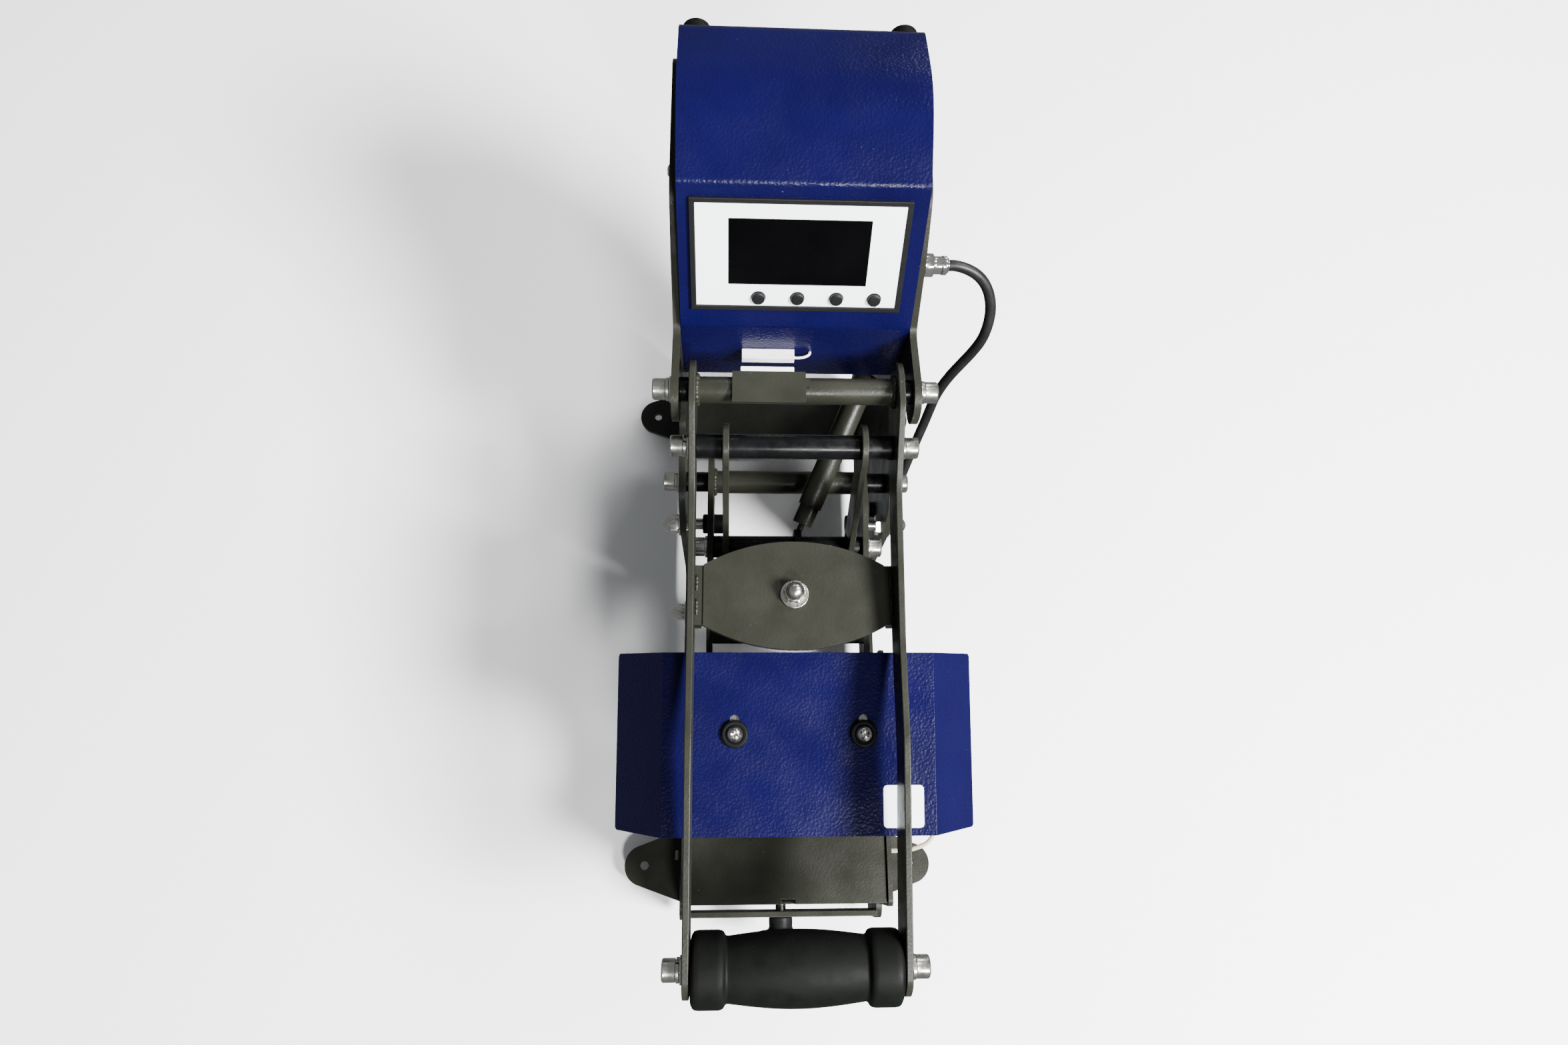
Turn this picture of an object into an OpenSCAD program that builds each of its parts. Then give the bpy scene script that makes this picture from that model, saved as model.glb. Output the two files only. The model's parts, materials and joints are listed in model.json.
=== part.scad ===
// Clamshell heat press for mugs: a hand lever works a toggle that closes a padded upper jaw on a
// fixed lower jaw. Millimetres, +Z up, +Y to the rear, origin under the middle of the machine.

/* [Frame] */
// Clear width between the two side plates
side_gap = 140; // [139:0.5:142]
// Thickness of a side plate
side_t = 4.5; // [3.5:0.5:5]
// Thickness of the base plates
base_t = 4; // [3:1:5]
// Height of the rubber feet
foot_h = 12; // [8:1:14]
// Distance between the left and right ear holes
ear_dx = 209; // [206:1:212]
// Distance between the front and rear ear holes
ear_dy = 382; // [378:1:384]
// Diameter of an ear hole
ear_hole_d = 6.5; // [5:0.5:7]

/* [Lever] */
// Clear width between the two lever arms
lever_gap = 120; // [119:0.5:121]
// Thickness of a lever arm
lever_t = 4; // [3:0.5:4]
// Largest diameter of the hand grip
grip_d = 42; // [38:1:42]

/* [Jaws] */
// Clear width between the two press arms
press_gap = 101; // [100.5:0.25:101.5]
// Thickness of a press arm
press_t = 4; // [3:0.5:4]
// Outside diameter of the mug that the jaws hold
mug_d = 82; // [80:1:82]
// Half angle of each jaw's wrap
jaw_half_angle = 68; // [60:1:68]
// Length of the jaws along the mug
jaw_l = 99; // [90:1:99]
// How far the closed head leans towards the front
head_tilt = 9.5; // [9:0.5:10]

/* [Control housing] */
// Outside width of the housing
housing_w = 139.6; // [138:0.2:139.6]
// Thickness of its sheet metal
sheet_t = 1.5; // [1:0.5:2]
// Diameter of a key cap
key_d = 7.8; // [7:0.2:8.2]

/* [Hidden] */
$fn = 48;

// Faces of the plates that flank each other, from the middle plane outwards
side_in = side_gap / 2;
side_out = side_in + side_t;
lever_in = lever_gap / 2;
lever_out = lever_in + lever_t;
press_in = press_gap / 2;
press_out = press_in + press_t;
link_in = 40;
link_out = 44;

// Pivots as [y, z]
lever_pivot = [79, 302];
press_pivot = [63, 185];
toggle_pin = [49, 286];
link_pin = [12, 196];
handle_pin = [-249, 239];
spring_pin = [138, 243];
stop_pin = [40, 159.7];
tie_pin = [2, 41];
socket_pin = [158, 318];
gland_pin = [62, 130];
housing_screw_pin = [190, 361];
rocker_pin = [259, 290];
screw_z = 54;

// Metric hardware
bolt_r = 4;
bolt_head_r = 6.5;
bolt_head_h = 8;
socket_r = 3.4;
washer_r = 8;
washer_t = 1.6;
spring_washer_t = 2;
screw_r = 2.4;
running = 0.05;
port_r = 6;
tube_r = 8;
shaft_r = 7.5;

base_top = foot_h + base_t;
rail_top = 66;
shelf_z = 151;

// Jaws: the lower one is level, the upper one leans with the head
mug_r = mug_d / 2;
pad_t = 4;
jaw_shell_t = 1.6;
pad_r = mug_r + 0.4;
jaw_r = pad_r + pad_t;
lower_jaw = [-118.6, 203];

// Head: its own frame starts at the middle of the cover's top face
head_mid = [-125, 238.5];
cover_flat_w = 165;
cover_l = 109;
wing_l = 48;
wing_bend = 50;
head_plate_w = -10;
upper_jaw_u = -4;
upper_jaw_w = -58;
mount_u = 6.5;
mount_dx = 39;
cover_x = 3.5;
cover_u = 0.8;

// Control panel: its own frame starts at the lower crease, y up the panel, z out of it
crease = [116, 313];
panel_top = [157, 397];
panel_tilt = atan2(panel_top[1] - crease[1], panel_top[0] - crease[0]);
housing_floor = 249;
housing_back = 262;
bezel_w = 124;
bezel_x = -1;
bezel_l = 72;
bezel_y = 13;
bezel_rim = 3;
display_w = 80.5;
display_l = 42.6;
display_x = -1;
display_y = 30.3;
key_y = 21.8;
key_x = [-23.5, -0.5, 22.5, 45];

// Heater cable from the socket down to the gland, and the lower heater's short lead
cable_d = 7;
cable_route = [[94.5, 158, 318], [99, 158, 318], [106, 157, 316.5], [113, 155, 313.5],
    [119, 152, 308.5], [123.5, 147.5, 301.5], [126, 142, 293], [126, 136, 283.5],
    [124, 131, 273.5], [120, 127.5, 263], [115, 124.5, 252.5], [110, 121.5, 242],
    [106, 118.5, 231], [103, 115, 220], [101, 110.5, 208.5], [98.5, 104.5, 197],
    [95.5, 98, 186], [92.5, 91, 175], [89.5, 84, 164.5], [86.5, 77, 154.5], [83.5, 70.5, 145]];
lead_d = 3;
lead_route = [[67.2, -128, 138], [76, -128.5, 138.5], [83, -130, 140], [91, -134, 142.5],
    [96.5, -140, 145], [99.5, -148, 147], [100.5, -157, 148.5], [100.5, -166, 149.5],
    [99.5, -174.5, 150], [95, -181, 149.5], [86.5, -184.5, 148.5], [79.5, -185.8, 147], [67.2, -186, 145]];

// Unit vector along v
function unit(v) = v / norm(v);

// Outline with rounded corners: each entry of pts is [x, y, corner radius]
function corner(a, b, c) =
    let(u = unit([a[0] - b[0], a[1] - b[1]]), v = unit([c[0] - b[0], c[1] - b[1]]),
        half = acos(u * v) / 2, reach = b[2] / tan(half), mid = unit(u + v),
        centre = [b[0], b[1]] + mid * b[2] / sin(half),
        from = [b[0], b[1]] + u * reach - centre, to = [b[0], b[1]] + v * reach - centre,
        start = atan2(from[1], from[0]), turn = atan2(to[1], to[0]) - start,
        sweep = turn > 180 ? turn - 360 : turn < -180 ? turn + 360 : turn,
        steps = max(2, ceil(abs(sweep) / 9)))
    [for (i = [0:steps]) centre + b[2] * [cos(start + sweep * i / steps), sin(start + sweep * i / steps)]];
function rounded(pts) = [for (i = [0:len(pts) - 1])
    each pts[i][2] <= 0 ? [[pts[i][0], pts[i][1]]]
        : corner(pts[(i + len(pts) - 1) % len(pts)], pts[i], pts[(i + 1) % len(pts)])];

// The same outline moved inwards by d, for pts listed clockwise
function inset(pts, d) = [for (i = [0:len(pts) - 1])
    let(a = pts[(i + len(pts) - 1) % len(pts)], b = pts[i], c = pts[(i + 1) % len(pts)],
        u = unit([b[0] - a[0], b[1] - a[1]]), v = unit([c[0] - b[0], c[1] - b[1]]),
        n = [u[1], -u[0]], m = [v[1], -v[0]], shift = (n + m) * d / (1 + n * m))
    [b[0] + shift[0], b[1] + shift[1], max(0, b[2] - d)]];

// Plate with a [y, z] outline, from x0 for a thickness of t
module plate_x(x0, t) {
    translate([x0, 0, 0]) rotate([90, 0, 90]) linear_extrude(t) children();
}

// Cylinder along X from x0 to x1 at [y, z]
module rod_x(x0, x1, r, p) {
    translate([x0, p[0], p[1]]) rotate([0, 90, 0]) cylinder(r = r, h = x1 - x0);
}

// Draws its children as given and mirrored to the other side
module both_sides() {
    children();
    mirror([1, 0, 0]) children();
}

// Socket-head bolt along +X: its washers' inner face is at x, its shank reaches back by depth
module socket_bolt(x, depth, p) {
    washers = washer_t + spring_washer_t;
    rod_x(x, x + washer_t, washer_r, p);
    rod_x(x + washer_t, x + washers, bolt_head_r + 0.6, p);
    difference() {
        rod_x(x + washers, x + washers + bolt_head_h, bolt_head_r, p);
        translate([x + washers + 3, p[0], p[1]]) rotate([0, 90, 0]) cylinder(r = socket_r, h = 6, $fn = 6);
    }
    rod_x(x - depth, x + washers + 1, bolt_r, p);
}

// Domed cap nut with a washer, standing on x, along +X
module cap_nut(x, r, p) {
    rod_x(x, x + washer_t, r * 1.2, p);
    translate([x + washer_t, p[0], p[1]]) rotate([0, 90, 0]) {
        cylinder(r = r, h = r * 0.9, $fn = 6);
        intersection() {
            translate([0, 0, r * 0.9]) sphere(r = r * 0.82);
            cylinder(r = r, h = r * 2);
        }
    }
}

// Tube along a route, as one closed polyhedron with rings square to the route
module swept_tube(route, d, sides) {
    n = len(route);
    heading = [for (i = [0:n - 1]) unit(route[min(i + 1, n - 1)] - route[max(i - 1, 0)])];
    side = [for (h = heading) unit(cross(h, [0.31, -0.87, 0.39]))];
    points = [for (i = [0:n - 1]) for (k = [0:sides - 1])
        route[i] + d / 2 * (cos(360 * k / sides) * side[i]
            + sin(360 * k / sides) * cross(heading[i], side[i]))];
    walls = [for (i = [0:n - 2]) for (k = [0:sides - 1])
        let(a = i * sides + k, b = i * sides + (k + 1) % sides)
        each [[a, a + sides, b + sides], [a, b + sides, b]]];
    ends = [[for (k = [0:sides - 1]) k], [for (k = [sides - 1:-1:0]) (n - 1) * sides + k]];
    polyhedron(points, concat(walls, ends));
}

// Places children in the leaning head's own frame: x across, y to the rear, z up
module on_head() {
    translate([0, head_mid[0], head_mid[1]]) rotate([head_tilt, 0, 0]) children();
}

// Places children on the control panel: x across, y up the panel, z out of it
module on_panel() {
    translate([0, crease[0], crease[1]]) rotate([panel_tilt, 0, 0]) children();
}

side_outline = [[-233, base_top, 3], [-233, rail_top, 12], [30, rail_top, 14], [30, 170, 14],
    [40, 205, 18], [97, 216, 10], [103, 284, 12], [61, 284, 14], [61, 320, 15],
    [116, 308, 8], [142, 350, 16], [166, 379, 20], [262, 379, 14], [262, 255, 40],
    [226, 190, 40], [226, base_top, 3]];

module side_plate() {
    difference() {
        plate_x(side_in, side_t) polygon(rounded(side_outline));
        for (p = [lever_pivot, press_pivot, stop_pin, tie_pin])
            rod_x(side_in - 1, side_out + 1, bolt_r + running, p);
        rod_x(side_in - 1, side_out + 1, screw_r + running, housing_screw_pin);
    }
}

module side_plate_left() {
    color("#5b5e55") mirror([1, 0, 0]) side_plate();
}

// The right plate also takes the cable socket, the cable gland and the spring's anchor
module side_plate_right() {
    color("#5b5e55") difference() {
        side_plate();
        rod_x(side_in - 1, side_out + 1, port_r, socket_pin);
        rod_x(side_in - 1, side_out + 1, port_r, gland_pin);
        rod_x(side_in - 1, side_out + 1, bolt_r + running, spring_pin);
    }
}

// One base plate: a strip across the machine whose ends taper to round ears
module base_plate(y) {
    root = 27;
    ear_r = 15.5;
    ear_x = ear_dx / 2;
    strip = side_out + 2;
    difference() {
        translate([0, y, foot_h]) linear_extrude(base_t) union() {
            square([2 * strip, 2 * root], center = true);
            both_sides() {
                translate([ear_x, 0]) circle(r = ear_r);
                polygon([[strip - 1, -root], [ear_x + 5, -ear_r + 0.9], [ear_x + 5, ear_r - 0.9],
                    [strip - 1, root]]);
            }
        }
        both_sides() translate([ear_x, y, foot_h - 1]) cylinder(d = ear_hole_d, h = base_t + 2);
    }
}

module base_plates() {
    color("#3a3c38") for (s = [-1, 1]) base_plate(s * ear_dy / 2 - 4);
}

module rubber_feet() {
    color("#1a1a1a") {
        for (x = [-1, 1]) for (s = [-1, 1])
            translate([x * 58, s * ear_dy / 2 - 4, 0]) cylinder(r1 = 11, r2 = 13, h = foot_h);
        for (x = [-1, 1]) translate([x * 60.5, housing_back, 386.5]) rotate([-90, 0, 0])
            cylinder(r1 = 9, r2 = 8, h = 8);
    }
}

module front_cross_bar() {
    color("#5b5e55") difference() {
        translate([-side_in, -231, 36]) cube([2 * side_in, 4, 36]);
        translate([0, -226, screw_z]) rotate([90, 0, 0]) cylinder(r = bolt_r + running, h = 6);
    }
}

// Folded sheet box that carries the lower jaw, with a front apron notched for the screw
module bed_box() {
    half_w = 65.8;
    front = -219;
    back = -52;
    color("#5b5e55") difference() {
        translate([-half_w, front, base_top + 8]) cube([2 * half_w, back - front, shelf_z - base_top - 8]);
        translate([-half_w + 2, front + 2, base_top + 5])
            cube([2 * half_w - 4, back - front - 4, shelf_z - base_top - 7]);
        translate([-4, front - 1, shelf_z - 5]) cube([9, 4, 7]);
    }
}

// Side cheeks of the bed, bolted between the box and the rails
module bed_cheeks() {
    cheek_in = 66.6;
    outline = [[-221, base_top + 6, 2], [-221, shelf_z + 2, 5],
        [-50, shelf_z + 2, 5], [-50, base_top + 6, 2]];
    color("#5b5e55") {
        difference() {
            both_sides() plate_x(cheek_in, side_in - 0.2 - cheek_in) polygon(rounded(outline));
            rod_x(cheek_in - 1, side_in + 1, 2.2, [-128, 138]);
            rod_x(cheek_in - 1, side_in + 1, 2.2, [-186, 145]);
        }
        translate([-side_in - 4, -190.5, shelf_z - 5]) cube([4.5, 6, 4]);
    }
}

// Part of a ring along X: radii r0 to r1, half_angle each side of straight down (or up)
module jaw_arc(r0, r1, half_angle, up) {
    turn = up ? 90 : 270;
    steps = 16;
    difference() {
        intersection() {
            circle(r = r1, $fn = 96);
            polygon([[0, 0], for (i = [0:steps]) let(a = turn - half_angle + 2 * half_angle * i / steps)
                2 * r1 * [cos(a), sin(a)]]);
        }
        circle(r = r0, $fn = 96);
    }
}

module jaw_piece(r0, r1, half_angle, half_l, up) {
    plate_x(-half_l, 2 * half_l) jaw_arc(r0, r1, half_angle, up);
}

module lower_saddle() {
    color("#8a8c8a") {
        translate([0, lower_jaw[0], lower_jaw[1]])
            jaw_piece(jaw_r, jaw_r + jaw_shell_t, jaw_half_angle, jaw_l / 2, false);
        for (x = [-30, 30]) difference() {
            translate([x - 8, lower_jaw[0] - 22, shelf_z]) cube([16, 44, 20]);
            rod_x(x - 9, x + 9, jaw_r + 1, lower_jaw);
        }
    }
}

module lower_heater_pad() {
    color("#b5482a") translate([0, lower_jaw[0], lower_jaw[1]])
        jaw_piece(pad_r, jaw_r, jaw_half_angle - 1, jaw_l / 2 - 1.5, false);
}

module heater_lead() {
    color("#cfc5a8") swept_tube(lead_route, lead_d, 8);
}

housing_outline = [[crease[0], housing_floor, 2], [crease[0], crease[1], 5], [panel_top[0], panel_top[1], 6],
    [205, 417, 60], [housing_back, 402, 14], [housing_back, housing_floor, 2]];
rear_opening_top = 360;

module housing_cover() {
    half_w = housing_w / 2;
    color("#1d2a6b") difference() {
        plate_x(-half_w, housing_w) polygon(rounded(housing_outline));
        plate_x(-half_w + sheet_t, housing_w - 2 * sheet_t)
            polygon(rounded(inset(housing_outline, sheet_t)));
        translate([-half_w + sheet_t, housing_back - 4, housing_floor - 1])
            cube([housing_w - 2 * sheet_t, 6, rear_opening_top - housing_floor + 1]);
        translate([-half_w + sheet_t, crease[0] + sheet_t, housing_floor - 1])
            cube([housing_w - 2 * sheet_t, housing_back - crease[0], 4]);
        on_panel() translate([bezel_x - 57.5, bezel_y + 3.8, -4]) cube([115, bezel_l - 7.6, 8]);
        for (s = [-1, 1]) rod_x(s * half_w - 3, s * half_w + 3, screw_r + running, housing_screw_pin);
        rod_x(half_w - 3, half_w + 3, port_r, socket_pin);
    }
}

// Angle of sheet that closes the housing's back and floor, with the inlet's cut-out
module rear_panel() {
    half_w = housing_w / 2 - sheet_t - 0.2;
    color("#2b2c2e") difference() {
        union() {
            translate([-half_w, housing_back - sheet_t - 0.5, housing_floor + 0.5])
                cube([2 * half_w, sheet_t, rear_opening_top - housing_floor - 1]);
            translate([-half_w, crease[0] + sheet_t + 0.3, housing_floor + 0.5])
                cube([2 * half_w, housing_back - crease[0] - sheet_t - 0.8, sheet_t]);
        }
        translate([-24, housing_back - 4, 276]) cube([48, 8, 28]);
    }
}

module display_bezel() {
    lip = 2;
    depth = 3;
    color("#101114") on_panel() difference() {
        translate([bezel_x - bezel_w / 2, bezel_y, 0]) cube([bezel_w, bezel_l, lip]);
        translate([bezel_x - bezel_w / 2 + bezel_rim, bezel_y + bezel_rim, -depth])
            cube([bezel_w - 2 * bezel_rim, bezel_l - 2 * bezel_rim, 2 * depth]);
    }
}

module face_plate() {
    inset_w = bezel_w - 2 * bezel_rim - 0.4;
    inset_l = bezel_l - 2 * bezel_rim - 0.4;
    color("#e8eaec") on_panel() difference() {
        translate([bezel_x - inset_w / 2, bezel_y + bezel_rim + 0.2, 0]) cube([inset_w, inset_l, 1.4]);
        translate([display_x - display_w / 2, display_y, -1]) cube([display_w, display_l, 4]);
        for (x = key_x) translate([x, key_y, -1]) cylinder(d = key_d + 0.8, h = 4);
    }
}

module display_window() {
    color("#08090c") on_panel() translate([display_x - display_w / 2 + 0.2, display_y + 0.2, -7])
        cube([display_w - 0.4, display_l - 0.4, 8.1]);
}

module circuit_board() {
    color("#1f5a32") on_panel() difference() {
        union() {
            translate([-54, bezel_y + 5, -9]) cube([108, bezel_l - 10, 1.6]);
            for (x = key_x) translate([x - 3, key_y - 3, -7.4]) cube([6, 6, 3.5]);
        }
        for (x = [-50, 50]) for (y = [bezel_y + 9, bezel_y + bezel_l - 9])
            translate([x, y, -10]) cylinder(r = 1.6, h = 4);
    }
}

module power_supply() {
    color("#4a4c50") {
        translate([-44, 150, housing_floor + 2]) cube([60, 46, 34]);
        translate([24, 160, housing_floor + 2]) cube([22, 30, 26]);
    }
}

// Combined mains inlet and rocker frame on the back
module power_inlet() {
    color("#141416") difference() {
        union() {
            translate([-28, housing_back - 0.5, 273]) cube([56, 2.5, 34]);
            translate([-23.7, housing_back - 26, 276.3]) cube([47.4, 26, 27.4]);
        }
        translate([-21, housing_back - 16, 281.5]) cube([24, 20, 17]);
        translate([7, housing_back - 10, 280]) cube([13, 14, 20]);
    }
    color("#c8b060") for (x = [-16, -9, -2])
        translate([x - 1, housing_back - 16, x == -9 ? 291 : 285]) cube([2, 12, 4]);
}

// Rocker that tips about an axis along X in the inlet's frame
module power_rocker() {
    color("#a01818") {
        plate_x(7.5, 12) polygon(rounded([[housing_back - 6, 283, 1], [housing_back - 6, 297, 1],
            [housing_back + 3.5, 298.2, 1.2], [housing_back + 1.2, 290, 4], [housing_back + 2, 281.8, 1.2]]));
        rod_x(7.2, 19.8, 1.2, rocker_pin);
    }
}

module reed_switch() {
    color("#e9e9e9") {
        translate([-32.5, crease[0] - 7, 278]) cube([33, 7, 7.5]);
        swept_tube([[0.3, 112, 282], [4.5, 111.5, 282], [8, 112, 283], [10, 114, 282.5],
            [10.5, 116, 281.5]], 1.6, 8);
    }
}

module cable_socket() {
    color("#b9bcc0") {
        rod_x(side_out, side_out + 4.5, 8, socket_pin);
        rod_x(side_in - 6, side_out, port_r - 0.1, socket_pin);
    }
}

module cable_plug() {
    color("#b9bcc0") {
        rod_x(side_out + 4.5, side_out + 10.5, 7.2, socket_pin);
        rod_x(side_out + 10.5, side_out + 17, 5.6, socket_pin);
        rod_x(side_out + 17, side_out + 20, 4.6, socket_pin);
    }
}

module heater_cable() {
    color("#141414") swept_tube(cable_route, cable_d, 10);
}

// Elbow gland on the right side plate that takes the cable's lower end
module cable_gland() {
    elbow = [81.2, 64, 133.5];
    color("#141414") {
        rod_x(side_in - 4, side_out, port_r - 0.1, gland_pin);
        rod_x(side_out, side_out + 3, 8, gland_pin);
        hull() {
            rod_x(side_out + 3, side_out + 8, 6.6, gland_pin);
            translate(elbow) sphere(r = 6.6, $fn = 24);
        }
        hull() {
            translate(elbow) sphere(r = 6.6, $fn = 24);
            translate([83.5, 70.5, 145]) rotate([-30, 14, 0]) cylinder(r = 5, h = 0.2, $fn = 24);
        }
    }
}

module housing_screws() {
    color("#c9ccd0") for (s = [-1, 1]) {
        translate([s * side_out, housing_screw_pin[0], housing_screw_pin[1]]) rotate([0, s * 90, 0]) {
            translate([0, 0, -side_t - 3]) cylinder(r = screw_r, h = side_t + 4);
            intersection() {
                cylinder(r = 4.6, h = 3);
                translate([0, 0, -4]) sphere(r = 6.6);
            }
        }
        translate([s * 58, housing_back - 0.5, 352]) rotate([-90, 0, 0]) cylinder(r = 3, h = 2);
    }
}

// Shoulder bolts that carry the lever and the head between the side plates
module pivot_bolts() {
    color("#c9ccd0") both_sides() {
        socket_bolt(side_out, side_out - lever_in + 22, lever_pivot);
        socket_bolt(side_out, side_out - press_in + 22, press_pivot);
    }
}

module pivot_spacers() {
    color("#151515") both_sides() {
        difference() {
            rod_x(lever_out + 0.3, side_in, 7.5, lever_pivot);
            rod_x(lever_out, side_in + 1, bolt_r + running, lever_pivot);
        }
        difference() {
            rod_x(press_out + 0.3, side_in, 7, press_pivot);
            rod_x(press_out, side_in + 1, bolt_r + running, press_pivot);
        }
    }
}

// Threaded studs through the side plates, with cap nuts outside
module side_studs() {
    color("#c9ccd0") {
        both_sides() {
            rod_x(48, side_out + 1, bolt_r, stop_pin);
            cap_nut(side_out, 7.2, stop_pin);
            cap_nut(side_out, 7.2, tie_pin);
            rod_x(side_in - 4, side_in, 7, stop_pin);
        }
        rod_x(-side_out - 1, side_out + 1, bolt_r, tie_pin);
        rod_x(56, side_out + 1, bolt_r, spring_pin);
        rod_x(side_out, side_out + 4, 6.5, spring_pin);
        rod_x(64, side_in, 5.8, spring_pin);
    }
}

module stop_bumpers() {
    color("#1a1a1a") both_sides() difference() {
        rod_x(44, 59, 7, stop_pin);
        rod_x(48, 60, bolt_r, stop_pin);
    }
}

lever_outline = [[97, 286, 15], [97, 319, 18], [64, 320, 16], [20, 292, 40], [-70, 281, 60], [-126, 281, 50],
    [-266, 253.5, 15], [-262, 221.5, 15], [-130, 253, 60], [-60, 253, 60], [30, 268, 30], [60, 272, 16]];

module lever_arms() {
    color("#5b5e55") both_sides() difference() {
        plate_x(lever_in, lever_t) polygon(rounded(lever_outline));
        rod_x(lever_in - 1, lever_out + 1, bolt_r + running, lever_pivot);
        rod_x(lever_in - 1, lever_out + 1, bolt_r, toggle_pin);
        rod_x(lever_in - 1, lever_out + 1, bolt_r, handle_pin);
    }
}

module pivot_tube() {
    color("#5b5e55") difference() {
        rod_x(-lever_in, lever_in, tube_r, lever_pivot);
        both_sides() rod_x(lever_in - 24, lever_in + 1, bolt_r + running, lever_pivot);
    }
}

// Bracket on the pivot tube that carries the magnet at its rear edge
module magnet_bracket() {
    top = lever_pivot[1] + tube_r;
    color("#5b5e55") difference() {
        union() {
            translate([-38.5, lever_pivot[0] - 12, top]) cube([44, 20, 2]);
            translate([-38.5, lever_pivot[0] + 6, top - 6]) cube([34, 2, 6]);
            translate([5.5, lever_pivot[0] - 2, top]) cube([2.5, 5, 2]);
        }
        rod_x(-40, 9, tube_r + running, lever_pivot);
    }
}

module magnet() {
    color("#e9e9e9") translate([-33.5, lever_pivot[0] + 8, lever_pivot[1] + 3.5]) cube([32, 3, 7]);
}

brace_y = -38.5;
brace_z = 265;

module oval_brace() {
    t = 4;
    color("#5b5e55") difference() {
        union() {
            translate([0, brace_y, brace_z - t]) linear_extrude(t) intersection() {
                translate([0, -76]) circle(r = 109.5, $fn = 96);
                translate([0, 76]) circle(r = 109.5, $fn = 96);
                square([110, 70], center = true);
            }
            both_sides() {
                translate([53, brace_y - 18.5, brace_z - t - 1]) cube([4, 37, t]);
                translate([lever_in - t, brace_y - 18.5, brace_z - t - 7]) cube([t, 37, t + 6]);
            }
        }
        translate([0, brace_y, brace_z - t - 1]) cylinder(r = bolt_r, h = t + 2);
    }
}

buffer_z = 198;
buffer_h = 38;

// Stud through the brace: cap nut and washer on top, lock nut below; it presses on the buffer
module buffer_stud() {
    stud_end = buffer_z + buffer_h + 0.5;
    color("#c9ccd0") translate([0, brace_y, 0]) {
        translate([0, 0, brace_z]) rotate([0, -90, 0]) cap_nut(0, 7.2, [0, 0]);
        translate([0, 0, stud_end]) cylinder(r = bolt_r, h = brace_z - stud_end + 1);
        translate([0, 0, brace_z - 4 - 6.5]) cylinder(r = 7.5, h = 6.5, $fn = 6);
    }
}

// Rubber buffer on the head's cross plate, under the stud
module rubber_buffer() {
    color("#161616") translate([0, brace_y, buffer_z]) rotate_extrude()
        polygon([[0, 0], [20, 0], [21, 1.5], [21, 7], [19, 9], [12, 13], [11, buffer_h - 1],
            [10, buffer_h], [0, buffer_h]]);
}

module toggle_shaft() {
    color("#17181a") difference() {
        rod_x(-lever_in, lever_in, shaft_r, toggle_pin);
        both_sides() rod_x(lever_in - 24, lever_in + 1, bolt_r, toggle_pin);
    }
}

module lever_bolts() {
    color("#c9ccd0") both_sides() {
        socket_bolt(lever_out, 26, toggle_pin);
        socket_bolt(lever_out, 30, handle_pin);
    }
}

module handle_core() {
    color("#8a8c8a") difference() {
        rod_x(-lever_in, lever_in, 9, handle_pin);
        both_sides() rod_x(lever_in - 28, lever_in + 1, bolt_r, handle_pin);
    }
}

module handle_grip() {
    r = grip_d / 2;
    half_l = lever_in - 0.5;
    swell = [for (i = [-9:9]) [r - 3.3 + 3.2 * cos(i * 10), i * (half_l - 24) / 9]];
    color("#161616") translate([0, handle_pin[0], handle_pin[1]]) rotate([0, 90, 0])
        difference() {
            rotate_extrude() polygon(concat([[0, -half_l], [r - 3, -half_l],
                [r, -half_l + 3], [r, -half_l + 17],
                [r - 4, -half_l + 21]], swell, [[r - 4, half_l - 21], [r, half_l - 17], [r, half_l - 3],
                [r - 3, half_l], [0, half_l]]));
            translate([0, 0, -half_l - 1]) cylinder(r = 9, h = 2 * half_l + 2);
        }
}

// Toggle link: runs on the toggle shaft; its lower eye is open around the link shaft
eye_play = 1.9;

module toggle_links() {
    upper_r = 14;
    lower_r = 14;
    dir = unit(link_pin - toggle_pin);
    across = [-dir[1], dir[0]];
    color("#5b5e55") both_sides() difference() {
        plate_x(link_in, link_out - link_in) union() {
            translate(toggle_pin) circle(r = upper_r);
            translate(link_pin) circle(r = lower_r);
            polygon([toggle_pin + across * 12, link_pin + across * 12,
                link_pin - across * 12, toggle_pin - across * 12]);
        }
        rod_x(link_in - 1, link_out + 1, shaft_r + running, toggle_pin);
        rod_x(link_in - 1, link_out + 1, shaft_r + eye_play, link_pin);
    }
}

// Point of the head's frame, u to the rear and w up, as [y, z, corner radius]
function head_point(u, w, r) = [head_mid[0] + u * cos(head_tilt) - w * sin(head_tilt),
    head_mid[1] + u * sin(head_tilt) + w * cos(head_tilt), r];
press_outline = [[81.5, 167, 18], [81.5, 204, 18], [38, 212, 14], [-54, 194, 30], [-79, 189.5, 6],
    head_point(38, head_plate_w, 2), head_point(-38, head_plate_w, 2), [-164, 202, 6], [-140, 197, 16],
    [-116, 163, 14], [-104, 160, 10], [-60, 167, 40]];

module press_arms() {
    color("#5b5e55") both_sides() difference() {
        plate_x(press_in, press_t) polygon(rounded(press_outline));
        rod_x(press_in - 1, press_out + 1, bolt_r + running, press_pivot);
        rod_x(press_in - 1, press_out + 1, bolt_r, link_pin);
    }
}

module press_pivot_tube() {
    color("#5b5e55") difference() {
        rod_x(-press_in, press_in, tube_r, press_pivot);
        both_sides() rod_x(press_in - 24, press_in + 1, bolt_r + running, press_pivot);
    }
}

module link_shaft() {
    color("#17181a") difference() {
        rod_x(-press_in, press_in, shaft_r, link_pin);
        both_sides() rod_x(press_in - 22, press_in + 1, bolt_r, link_pin);
    }
}

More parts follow.
